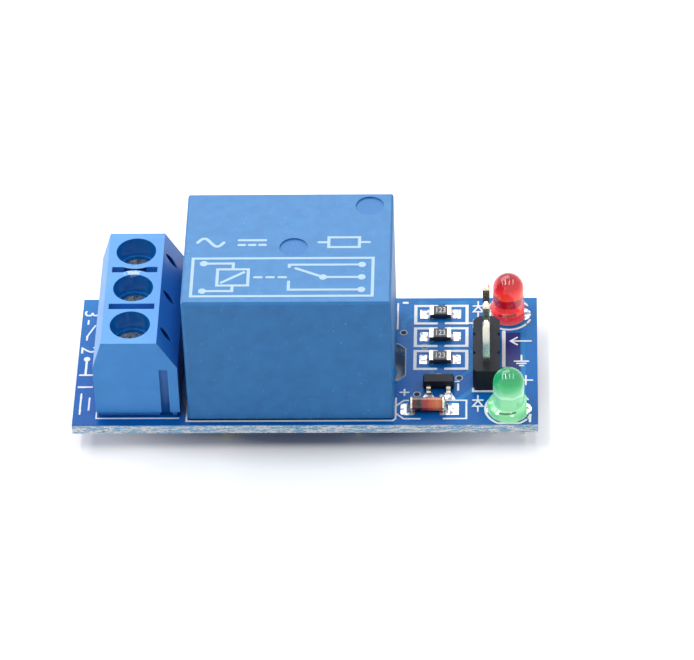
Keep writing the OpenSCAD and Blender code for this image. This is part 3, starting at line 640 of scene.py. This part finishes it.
# Place along the tube, from its cathode end, and the tone there
DIODE_TONES = [
    (0.0, (114, 20, 22)), (0.14, (98, 18, 22)), (0.17, (16, 8, 12)), (0.28, (22, 10, 14)),
    (0.32, (172, 44, 42)), (0.5, (196, 56, 44)), (0.56, (236, 86, 42)), (0.85, (252, 138, 62)),
    (0.95, (240, 110, 52)), (1.0, (140, 48, 32))
]


def diode_tube():
    """Tinted glass: a dark end with a black cathode band, a red middle and an orange end."""
    low, high = box("diode_glass")
    f = Finish("diode_glass", Roughness=0.07, IOR=1.5, Transmission_Weight=0.15, Coat_Weight=0.6)
    wobble = f.math("MULTIPLY", f.noise(1.6, 2), 0.16)
    along = f.math("ADD", f.range(f.axis("X"), low.x, high.x), wobble)
    f.set("Base Color", f.ramp(f.math("SUBTRACT", along, 0.08), DIODE_TONES))
    f.relief(f.noise(3, 2), 0.004)
    return f.material


def winding():
    """Layers of enamelled wire, wound round the upright bobbin."""
    f = Finish("copper_wire", Metallic=0.85, Roughness=0.35)
    turns = f.math("SINE", f.math("MULTIPLY", f.axis("Z"), 60.0))
    height = f.range(turns, -1, 1)
    # Darker where the turns dip: painted shade between the turns.
    f.set("Base Color", f.mix(height, srgb(104, 44, 20), srgb(206, 118, 62)))
    f.relief(height, 0.03)
    return f.material


def ceramic():
    """Dark fired ceramic with paler specks."""
    f = Finish("dark_ceramic", Roughness=0.5)
    specks = f.range(f.noise(10, 4), 0.4, 0.7)
    f.set("Base Color", f.mix(specks, srgb(34, 40, 54), srgb(62, 70, 86)))
    f.relief(f.noise(16, 3), 0.003, 0.03)
    return f.material


MATERIALS = {
    "board_laminate": laminate(),
    "terminal_plastic": terminal_plastic(),
    "relay_plastic": relay_plastic(),
    "bobbin_plastic": moulded("bobbin_plastic", srgb(232, 230, 222), 0.45),
    "black_plastic": moulded("black_plastic", srgb(31, 34, 44), 0.42, grain=0.012, shift=0.3,
                            Specular_IOR_Level=0.2),
    "black_glaze": moulded("black_glaze", srgb(22, 24, 30), 0.3, grain=0.002, edge=0.03, shift=0.3),
    "dark_ceramic": ceramic(),
    "tinned_brass": metal("tinned_brass", srgb(226, 222, 210), 0.28, streak=(1, 4, 1)),
    "plated_steel": metal("plated_steel", srgb(204, 205, 200), 0.28, grain=0.05,
                          streak=(0.3, 0.3, 0.3)),
    "plated_pin": metal("plated_pin", srgb(240, 234, 220), 0.16, streak=(4, 4, 0.3)),
    "soft_iron": metal("soft_iron", srgb(190, 194, 200), 0.35, streak=(0.4, 4, 1)),
    "spring_bronze": metal("spring_bronze", srgb(216, 150, 96), 0.28, streak=(0.3, 5, 1)),
    "brass_strip": metal("brass_strip", srgb(222, 188, 110), 0.28, streak=(1, 1, 0.3)),
    "contact_silver": metal("contact_silver", srgb(236, 234, 228), 0.2),
    "copper_wire": winding(),
    "gold_die": metal("gold_die", srgb(240, 206, 120), 0.25),
    "red_epoxy": lamp_epoxy("red_epoxy", "red_lamp_lens", (1.0, 0.35, 0.3), srgb(90, 0, 10),
                            RED_TONES),
    "green_epoxy": lamp_epoxy("green_epoxy", "green_lamp_lens", (0.5, 1.0, 0.7), srgb(0, 70, 40),
                              GREEN_TONES),
    "diode_glass": diode_tube(),
    "solder": solder(),
}
TRACK = lacquered_copper()
WHITE_INK = ink("white_ink", srgb(246, 248, 250))
CASE_INK = ink("case_ink", srgb(184, 214, 236))
# Dark discs that stand for the shade inside the signal holes.
VIA_HOLE_SHADE = moulded("via_hole_shade", srgb(8, 12, 24), 0.7)
VIA_RIM = moulded("via_rim", srgb(150, 178, 196), 0.35, grain=0.002, edge=0.02)

for part in frame["record"]["subparts"]:
    mesh = frame["nodes"][part["node"]].data
    mesh.materials.clear()
    mesh.materials.append(MATERIALS[part["material_slot"]])


# ---- Board: tracks, pads and print ----

LEADS = {
    "terminal": POLES,
    "contact": [Vector((centre("closed_terminal").x, box("closed_terminal")[0].y + 0.2, 0)),
                Vector((centre("open_terminal").x, box("open_terminal")[1].y - 0.2, 0))],
    "common": [centre("common_terminal")],
    "coil": [centre("coil_pin_front"), centre("coil_pin_back")],
    "header": [centre(f"header_pin_{i}") for i in (1, 2, 3)],
}
LAMP_LEAD = 0.45
for lamp in ("red_lamp", "green_lamp"):
    inner = box(f"{lamp}_anode")[0].x + LAMP_LEAD / 2
    outer = box(f"{lamp}_cathode")[1].x - LAMP_LEAD / 2
    LEADS[lamp] = [Vector((x, centre(f"{lamp}_lens").y, 0)) for x in (inner, outer)]
PAD_RADII = {
    "terminal": (0.7, 1.3), "contact": (0.65, 1.3), "common": (0.65, 1.3), "coil": (0.5, 1.0),
    "header": (0.5, 0.9), "red_lamp": (0.45, 0.85), "green_lamp": (0.45, 0.85)
}


def lead_pads():
    """Rings of bare metal round every lead, on both faces."""
    faces = (("upper_pads", TOP - SINK, TOP + PAD_H), ("lower_pads", UNDER - PAD_H, UNDER + SINK))
    for name, low, high in faces:
        pads = Solids(low, high)
        for kind, points in LEADS.items():
            inner, outer = PAD_RADII[kind]
            for p in points:
                pads.ring(p.x, p.y, inner, outer)
        pads.piece(name, MATERIALS["solder"], "solder")


def chip_pads():
    """Bare pads under the chips and the diode, and solder that spreads from the transistor's toes."""
    pads = Solids(TOP - SINK, TOP + PAD_H)
    for i in RESISTORS:
        low, high = box(f"resistor_{i}_body")
        for side in (-1, 1):
            x = (low.x + high.x) / 2 + side * 1.32
            pads.plate(x - 0.6, low.y + 0.02, x + 0.6, high.y - 0.02, 0.06)
    for i in (1, 2, 3):
        low, high = box(f"transistor_lead_{i}")
        x = (low.x + high.x) / 2
        toe, way = (low.y, -1) if i < 3 else (high.y, 1)
        reach = 0.62 if i < 3 else 0.15
        spread = [(x - 0.22, toe - way * 0.35), (x + 0.22, toe - way * 0.35),
                  (x + 0.66, toe + way * reach), (x - 0.66, toe + way * reach)]
        pads.outline(spread if i == 3 else spread[::-1])
    low, high = box("diode_glass")
    middle = (low.y + high.y) / 2
    pads.plate(low.x - 1.1, middle - 0.8, low.x + 0.25, middle + 0.72, 0.3)
    pads.plate(high.x - 0.25, middle - 0.78, high.x + 1.5, middle + 0.72, 0.06)
    pads.piece("chip_pads", MATERIALS["solder"], "solder")


# Signal holes: distance from the relay's right face, and place along Y
VIAS = [(0.7, 3.85), (2.7, 1.9), (5.95, -2.45), (2.05, -4.65)]
VIA_R = 0.25
VIA_RISE = 0.004


def vias():
    """Dark discs painted as the shade in the four signal holes, with a pale rim, on both faces."""
    hole_shades = Solids(UNDER - TRACK_TOP - 2 * VIA_RISE, TOP + TRACK_TOP + 2 * VIA_RISE)
    rims = Solids(UNDER - TRACK_TOP - VIA_RISE, TOP + TRACK_TOP + VIA_RISE)
    for x, y in VIAS:
        hole_shades.disc(COVER_HIGH.x + x, y, VIA_R)
        rims.ring(COVER_HIGH.x + x, y, VIA_R + 0.01, VIA_R + 0.12)
    hole_shades.piece("via_hole_shades", VIA_HOLE_SHADE, "dark_ceramic")
    rims.piece("via_rims", VIA_RIM, "board_laminate")


def upper_tracks():
    """Signal tracks on the upper face."""
    right = COVER_HIGH.x
    chips = centre("resistor_1_body").x
    lamps = centre("red_lamp_lens").x
    tracks = Solids(TOP - SINK, TOP + TRACK_TOP)
    for width, path in (
        (0.55, [(right + 0.7, 3.85), (right + 0.7, 5.3), (right + 1.7, 6.3), (chips - 1.6, 6.3)]),
        (0.4, [(right + 2.7, 1.85), (chips + 1.3, 1.85), (chips + 2.4, 0.8), (chips + 2.4, -1.2)]),
        (0.5, [(right + 2.05, -4.65), (right + 3.4, -3.3), (right + 3.4, -1.4)]),
        (0.6, [(right + 0.2, -6.6), (right + 2.1, -4.7)]),
        (0.4, [(right + 5.95, -2.45), (right + 7.1, -1.3), (right + 7.1, 1.2)]),
        (0.5, [(right + 5.0, -6.2), (right + 7.0, -4.3), (HEADER_LOW.x + 0.4, -3.1)]),
        (0.5, [(lamps + 1.45, 5.2), (lamps + 1.45, -5.4)]),
        (0.5, [(right + 2.3, 8.0), (BOARD_HIGH.x - 1.0, 8.0)]),
    ):
        tracks.stroke(path, width)
    tracks.piece("upper_tracks", TRACK, "board_laminate")


def lower_tracks():
    """Wide tracks from the relay's contacts to the terminals, and the signal tracks."""
    front, middle, back = LEADS["terminal"]
    closed, opened = LEADS["contact"]
    common = LEADS["common"][0]
    coil_front, coil_back = LEADS["coil"]
    supply, ground, signal = LEADS["header"]
    red, green = LEADS["red_lamp"], LEADS["green_lamp"]
    tracks = Solids(UNDER - TRACK_TOP, UNDER + SINK)
    for width, path in (
        (3.0, [front.xy, closed.xy]),
        (3.0, [back.xy, opened.xy]),
        (3.2, [middle.xy, common.xy]),
        (0.8, [coil_back.xy, (coil_back.x + 2.2, coil_back.y + 2.0),
               (signal.x - 2.6, coil_back.y + 2.0), (signal.x - 1.2, signal.y + 1.2), signal.xy]),
        (0.8, [coil_front.xy, (coil_front.x + 1.2, coil_front.y - 1.0),
               (supply.x - 3.4, coil_front.y - 1.0), green[0].xy]),
        (0.6, [supply.xy, (green[1].x - 0.3, green[1].y + 1.6), green[1].xy]),
        (0.6, [ground.xy, (red[1].x, ground.y + 1.6), red[1].xy]),
    ):
        tracks.stroke([tuple(point) for point in path], width)
    tracks.piece("lower_tracks", TRACK, "board_laminate")


def chip_frames(white):
    """Frames round the resistors, open over the middle of each long side."""
    for i in RESISTORS:
        low, high = box(f"resistor_{i}_body")
        x = (low.x + high.x) / 2 + FRAME_SHIFT
        y0, y1 = low.y - 0.68, high.y + 0.52
        for side in (-1, 1):
            end, gap = x + side * FRAME_REACH, x + side * 0.45
            white.stroke([(gap, y0), (end, y0), (end, y1), (gap, y1)], LINE)


def block_lines(white):
    """The outline of the relay, broken at the isolation slot, and the terminal block's front line."""
    front = COVER_LOW.y - 0.02
    left = COVER_LOW.x - 0.18
    right = COVER_HIGH.x + 0.12
    corner = 0.25
    white.stroke([(right, 7.9), (right, 4.35)], THIN)
    white.stroke([(right, -5.2), (right, front + corner), (right - corner, front), (left, front),
                  (left, 7.9)], THIN)
    edge, y = BLOCK_LOW.x - 0.06, BLOCK_LOW.y
    white.stroke([(edge, y + 2.0), (edge, y - 0.15), (BLOCK_HIGH.x - 0.15, y - 0.15)], 0.13)


# The isolation slot in the board, measured from the relay's common terminal
SLOT_HALF = (2.3, 2.5)
SLOT_SHIFT = 0.3
SLOT_CUT = 0.7
RIM_GAP = 0.04
RIM_H = 0.03


def slot_rim(pale):
    """The pale cut edge of the lacquer round the isolation slot."""
    common = LEADS["common"][0]
    left = COVER_HIGH.x - 0.3
    right = common.x + SLOT_HALF[0] + RIM_GAP
    front = common.y + SLOT_SHIFT - SLOT_HALF[1] - RIM_GAP
    back = common.y + SLOT_SHIFT + SLOT_HALF[1] + RIM_GAP
    pale.stroke([(left, front), (right - SLOT_CUT, front), (right, front + SLOT_CUT),
                 (right, back - SLOT_CUT), (right - SLOT_CUT, back), (left, back)], 0.09)


def diode_frame(white):
    """The frame round the diode, with its corners cut at the cathode end."""
    low, high = box("diode_glass")
    y = (low.y + high.y) / 2
    left, right = low.x - 1.55, high.x + 2.2
    y0, y1, cut = y - 1.3, y + 1.15, 0.75
    white.stroke([(low.x + 0.7, y0), (left + cut, y0), (left, y0 + cut), (left, y1 - cut),
                  (left + cut, y1), (low.x - 0.4, y1)], 0.16)
    white.stroke([(high.x + 0.1, y0), (right, y0), (right, y1), (high.x + 0.35, y1)], 0.18)


def header_lines(white):
    """Lines beside the header, and one that joins it to the resistors' frames."""
    low, high = HEADER_LOW, HEADER_HIGH
    white.stroke([(high.x + 0.36, low.y + 3.2), (high.x + 0.36, high.y + 0.4)], 0.34)
    white.stroke([(low.x, low.y + 0.2), (low.x, low.y - 0.16), (high.x - 0.6, low.y - 0.16)], 0.22)
    frame_right = centre("resistor_1_body").x + FRAME_REACH
    y = box("resistor_1_body")[0].y - 0.66
    white.stroke([(frame_right, y), (low.x + 0.05, y)], 0.2)
    white.stroke([(low.x + 0.05, y - 0.6), (low.x + 0.05, y + 0.4)], 0.2)


def lamp_rings(white):
    """A ring round each lamp, open at its outer pad, that stays on the board."""
    nearest = BOARD_LOW.y + 0.12
    for lamp in ("red_lamp", "green_lamp"):
        middle = LEADS[lamp][0].lerp(LEADS[lamp][1], 0.5)
        for start, end, steps in ((35, 318, 48), (326, 338, 3)):
            ring = arc(middle.x, middle.y, 2.17, start, end, steps)
            white.stroke([(x, max(y, nearest)) for x, y in ring], 0.2)


# ---- Generic signs ----

def contact_sign(layer, x, y, size, closed):
    """The plain circuit sign of a contact: two dots and a lever, drawn along Y."""
    for side in (1, -1):
        layer.disc(x, y + side * size, 0.13 * size)
        layer.stroke([(x, y + side * size), (x, y + side * 1.5 * size)], THIN)
    tip = (x, y + size) if closed else (x + 0.75 * size, y + 0.7 * size)
    layer.stroke([(x, y - size), tip], THIN)


def plus_sign(layer, x, y, size):
    """A plus, centred on a point, with arms of this size."""
    layer.stroke([(x - size, y), (x + size, y)], THIN)
    layer.stroke([(x, y - size), (x, y + size)], THIN)


def earth_sign(layer, x, y, size):
    """The plain circuit sign of earth: a stem and three bars."""
    layer.stroke([(x, y + size), (x, y)], 0.18)
    for k, half in enumerate((0.8, 0.5, 0.2)):
        bar = y - 0.38 * k * size
        layer.stroke([(x - half * size, bar), (x + half * size, bar)], 0.18)


def diode_sign(layer, x, y, size):
    """The plain circuit sign of a diode, pointing along +Y."""
    layer.stroke([(x, y - 1.5 * size), (x, y - 0.6 * size)], 0.16)
    layer.band([(x - 0.6 * size, y - 0.6 * size), (x + 0.6 * size, y - 0.6 * size),
                (x, y + 0.4 * size)], 0.16)
    layer.stroke([(x - 0.6 * size, y + 0.5 * size), (x + 0.6 * size, y + 0.5 * size)], 0.18)
    layer.stroke([(x, y + 0.5 * size), (x, y + 1.3 * size)], 0.16)


def terminal_legend(white):
    """The terminals' numbers, and the contacts that they lead to."""
    x = (BOARD_LOW.x + BLOCK_LOW.x) / 2 - 0.3
    front, middle, back = LEADS["terminal"]
    for k, p in enumerate((front, middle, back)):
        white.number(str(k + 1), x, p.y + 1.55, 1.45, -90)
    contact_sign(white, x - 0.2, back.y - 0.75, 0.9, False)
    contact_sign(white, x - 0.2, front.y - 0.75, 0.9, True)
    white.stroke([(x + 0.6, front.y - 1.56), (x + 0.6, front.y + 0.06)], THIN)
    white.stroke([(x, middle.y - 1.9), (x, middle.y + 0.3)], 0.22)
    white.disc(x, middle.y + 0.3, 0.3)
    white.stroke([(x - 0.5, middle.y - 1.9), (x + 0.6, middle.y - 1.9)], 0.22)


def header_legend(white):
    """An arrow, an earth sign and a plus beside the header's pins."""
    supply, ground, signal = LEADS["header"]
    x = HEADER_HIGH.x + 2.0
    y = signal.y + 0.35
    white.stroke([(x - 1.0, y), (x + 0.9, y)], THIN)
    white.stroke([(x - 0.4, y + 0.5), (x - 1.0, y), (x - 0.4, y - 0.5)], THIN)
    earth_sign(white, x, ground.y + 0.1, 0.8)
    plus_sign(white, x + 0.4, supply.y + 0.05, 0.6)


def small_marks(white):
    """Marks beside the lamps, the transistor, the diode and the relay's corner."""
    for lamp in ("red_lamp", "green_lamp"):
        diode_sign(white, HEADER_LOW.x + 0.45, LEADS[lamp][0].y + 0.8, 0.75)
    x, y = BOARD_HIGH.x - 0.75, BOARD_LOW.y + 0.35
    white.stroke([(x, y), (x, y + 0.85)], 0.24)
    low, high = box("transistor_body")
    white.disc(low.x + 1.75, low.y - 0.85, 0.2)
    plus_sign(white, low.x - 1.7, low.y - 0.35, 0.4)
    white.stroke([(high.x + 0.36, low.y + 0.75), (high.x + 0.36, low.y - 0.05)], 0.2)
    white.stroke([(high.x + 0.1, low.y + 1.1), (high.x + 0.42, low.y + 1.1)], THIN)
    white.stroke([(COVER_HIGH.x + 0.68, 8.0), (COVER_HIGH.x + 0.98, 8.0)], 0.3)


def board_print():
    """The white print on the board, and the slot's pale rim."""
    white = Solids(TOP - SINK, TOP + PRINT_H)
    chip_frames(white)
    block_lines(white)
    diode_frame(white)
    header_lines(white)
    lamp_rings(white)
    terminal_legend(white)
    header_legend(white)
    small_marks(white)
    white.piece("board_print", WHITE_INK, "white_print")
    pale = Solids(TOP - SINK, TOP + RIM_H)
    slot_rim(pale)
    pale.piece("slot_rim", VIA_RIM, "board_laminate")


CASE_LINE = 0.28


def case_print():
    """A plain wiring sign on the relay: a coil, its pins and a changeover contact."""
    z = COVER_HIGH.z
    layer = Solids(z - SINK, z + INK_H)
    x0, y0 = COVER_LOW.x, COVER_LOW.y

    def at(*points):
        return [(x0 + x, y0 + y) for x, y in points]

    layer.band(at((0.9, 0.95), (17.3, 0.95), (17.3, 6.1), (0.9, 6.1)), CASE_LINE)
    layer.band(at((3.2, 2.4), (6.0, 2.4), (6.0, 4.6), (3.2, 4.6)), CASE_LINE)
    layer.stroke(at((3.6, 2.8), (5.6, 4.2)), CASE_LINE)
    layer.stroke(at((4.6, 4.6), (4.6, 5.4), (1.9, 5.4)), CASE_LINE)
    layer.stroke(at((4.6, 2.4), (4.6, 1.65), (1.9, 1.65)), CASE_LINE)
    for k in range(3):
        layer.stroke(at((6.6 + 1.1 * k, 3.5), (7.2 + 1.1 * k, 3.5)), CASE_LINE)
    layer.stroke(at((16.3, 3.5), (12.8, 3.5), (10.3, 4.7)), CASE_LINE)
    layer.stroke(at((16.3, 5.2), (9.7, 5.2), (9.7, 4.9)), CASE_LINE)
    layer.stroke(at((16.3, 1.8), (9.7, 1.8), (9.7, 2.9)), CASE_LINE)
    for x, y in ((1.9, 5.4), (1.9, 1.65), (16.3, 3.5), (16.3, 5.2), (16.3, 1.8), (12.8, 3.5)):
        layer.disc(x0 + x, y0 + y, 0.36)
    wave = [(1.2 + 2.4 * t / 24, 8.3 + 0.55 * math.sin(2 * math.pi * t / 24)) for t in range(25)]
    layer.stroke(at(*wave), LINE)
    layer.stroke(at((5.0, 8.6), (7.4, 8.6)), LINE)
    for k in range(3):
        layer.stroke(at((5.0 + 0.95 * k, 7.95), (5.5 + 0.95 * k, 7.95)), LINE)
    layer.band(at((13.2, 7.6), (16.0, 7.6), (16.0, 8.95), (13.2, 8.95)), CASE_LINE)
    layer.stroke(at((12.3, 8.27), (13.2, 8.27)), CASE_LINE)
    layer.stroke(at((16.0, 8.27), (16.9, 8.27)), CASE_LINE)
    layer.piece("case_print", CASE_INK, "white_print")


def chip_numbers():
    """Plain numbers on the resistors."""
    z = box("resistor_1_glaze")[1].z
    layer = Solids(z - SINK, z + INK_H)
    for i in RESISTORS:
        p = centre(f"resistor_{i}_glaze")
        layer.number("123", p.x, p.y - 0.02, 0.72, narrow=0.68)
    layer.piece("chip_numbers", WHITE_INK, "white_print")


lead_pads()
chip_pads()
vias()
upper_tracks()
lower_tracks()
board_print()
case_print()
chip_numbers()


# ---- Floor, lights and camera ----

def link_math(nodes, links, operation, a, b):
    node = nodes.new("ShaderNodeMath")
    node.operation = operation
    links.new(a, node.inputs[0])
    links.new(b, node.inputs[1])
    return node.outputs[0]


def seen_rays(nodes, links):
    """1 for rays from the camera, from mirrors and through glass."""
    rays = nodes.new("ShaderNodeLightPath")
    either = link_math(nodes, links, "MAXIMUM", rays.outputs["Is Camera Ray"],
                       rays.outputs["Is Glossy Ray"])
    return link_math(nodes, links, "MAXIMUM", either, rays.outputs["Is Transmission Ray"])


FLOOR_COLOUR = (0.86, 0.865, 0.875, 1)
FLOOR_SQUASH = (0.5, 1.0, 1.0)
# Distance from the middle in metres, squashed along X, and the glow there; the glow is painted light
# that lightens the object's shadows on the floor round the board.
FLOOR_GLOW = ((0.0090, 0.0), (0.0104, 0.32), (0.03, 0.34), (0.4, 0.75))


def floor():
    """A plain pale floor with painted light: it glows from about the board's edges, which lightens the
    shadows there, and more further out, so that it fades to white; under the board it doesn't glow.
    """
    bpy.ops.mesh.primitive_plane_add(size=3.0)
    plane = bpy.context.object
    plane.name = "floor"
    material = bpy.data.materials.new("floor")
    material.use_nodes = True
    nodes, links = material.node_tree.nodes, material.node_tree.links
    nodes.clear()
    diffuse = nodes.new("ShaderNodeBsdfDiffuse")
    diffuse.inputs["Color"].default_value = FLOOR_COLOUR
    place = nodes.new("ShaderNodeTexCoord")
    squash = nodes.new("ShaderNodeVectorMath")
    squash.operation = "MULTIPLY"
    squash.inputs[1].default_value = FLOOR_SQUASH
    links.new(place.outputs["Object"], squash.inputs[0])
    length = nodes.new("ShaderNodeVectorMath")
    length.operation = "LENGTH"
    links.new(squash.outputs[0], length.inputs[0])
    fade = nodes.new("ShaderNodeValToRGB")
    links.new(length.outputs["Value"], fade.inputs["Fac"])
    elements = fade.color_ramp.elements
    while len(elements) < len(FLOOR_GLOW):
        elements.new(0.5)
    for element, (reach, value) in zip(elements, FLOOR_GLOW):
        element.position = reach
        element.color = (value, value, value, 1)
    glow = nodes.new("ShaderNodeEmission")
    strength = link_math(nodes, links, "MULTIPLY", fade.outputs["Color"], seen_rays(nodes, links))
    links.new(strength, glow.inputs["Strength"])
    both = nodes.new("ShaderNodeAddShader")
    links.new(diffuse.outputs[0], both.inputs[0])
    links.new(glow.outputs[0], both.inputs[1])
    output = nodes.new("ShaderNodeOutputMaterial")
    links.new(both.outputs[0], output.inputs[0])
    plane.data.materials.append(material)


def area_light(name, place, width, length, power):
    """A rectangular light that faces the object, with its length along Y."""
    light = bpy.data.lights.new(name, "AREA")
    light.shape = "RECTANGLE"
    light.size = width
    light.size_y = length
    light.energy = power
    lamp = bpy.data.objects.new(name, light)
    back = Vector(place).normalized()
    along = (Vector((0, 1, 0)) - back * back.y).normalized() if abs(back.y) < 0.6 else Vector((0, 0, 1))
    across = along.cross(back).normalized()
    along = back.cross(across)
    turn = Matrix((across, along, back)).transposed().to_4x4()
    lamp.matrix_world = Matrix.Translation(place) @ turn
    bpy.context.scene.collection.objects.link(lamp)


# Where each tube lies as seen from the object, and its power in watts
TUBES = [
    ((-0.64, 0.1, 0.76), 0.45), ((-0.32, -0.03, 0.95), 0.85),
    ((0.15, -0.05, 0.99), 0.45), ((0.55, 0.06, 0.83), 0.4)
]
TUBE_DISTANCE = 0.55


def lights():
    """Four tubes overhead, and a soft box behind and above."""
    for k, (way, power) in enumerate(TUBES):
        area_light(f"tube_{k}", Vector(way) * TUBE_DISTANCE, 0.05, 0.42, power)
    area_light("soft_box", (-0.16, 0.38, 0.44), 0.5, 0.35, 1.5)
    world = bpy.data.worlds.new("studio")
    bpy.context.scene.world = world
    world.use_nodes = True
    nodes, links = world.node_tree.nodes, world.node_tree.links
    sky = nodes["Background"]
    sky.inputs["Color"].default_value = (0.97, 0.985, 1.0, 1)
    strength = nodes.new("ShaderNodeMapRange")
    links.new(seen_rays(nodes, links), strength.inputs["Value"])
    strength.inputs["To Min"].default_value = 0.3
    strength.inputs["To Max"].default_value = 1.0
    links.new(strength.outputs[0], sky.inputs["Strength"])


# The view that was fitted to the photo's corners, in metres
VIEW_RIGHT = (0.99933, 0.02414, -0.02764)
VIEW_FORWARD = (-0.03646, 0.739, -0.67271)
VIEW_PLACE = (0.0190, -0.30781, 0.28708)
VIEW_LENS = 232.6


def camera():
    """The viewing angle: from the front and above, nearly square to the long edge."""
    right = Vector(VIEW_RIGHT)
    forward = Vector(VIEW_FORWARD)
    right = (right - forward * right.dot(forward)).normalized()
    forward.normalize()
    up = right.cross(forward)
    data = bpy.data.cameras.new("camera")
    data.sensor_width = 36
    data.lens = VIEW_LENS
    data.clip_start = 0.02
    data.clip_end = 5
    view = bpy.data.objects.new("camera", data)
    turn = Matrix((right, up, -forward)).transposed().to_4x4()
    view.matrix_world = Matrix.Translation(VIEW_PLACE) @ turn
    bpy.context.scene.collection.objects.link(view)
    bpy.context.scene.camera = view


floor()
lights()
camera()
bpy.context.scene.view_settings.view_transform = "Standard"
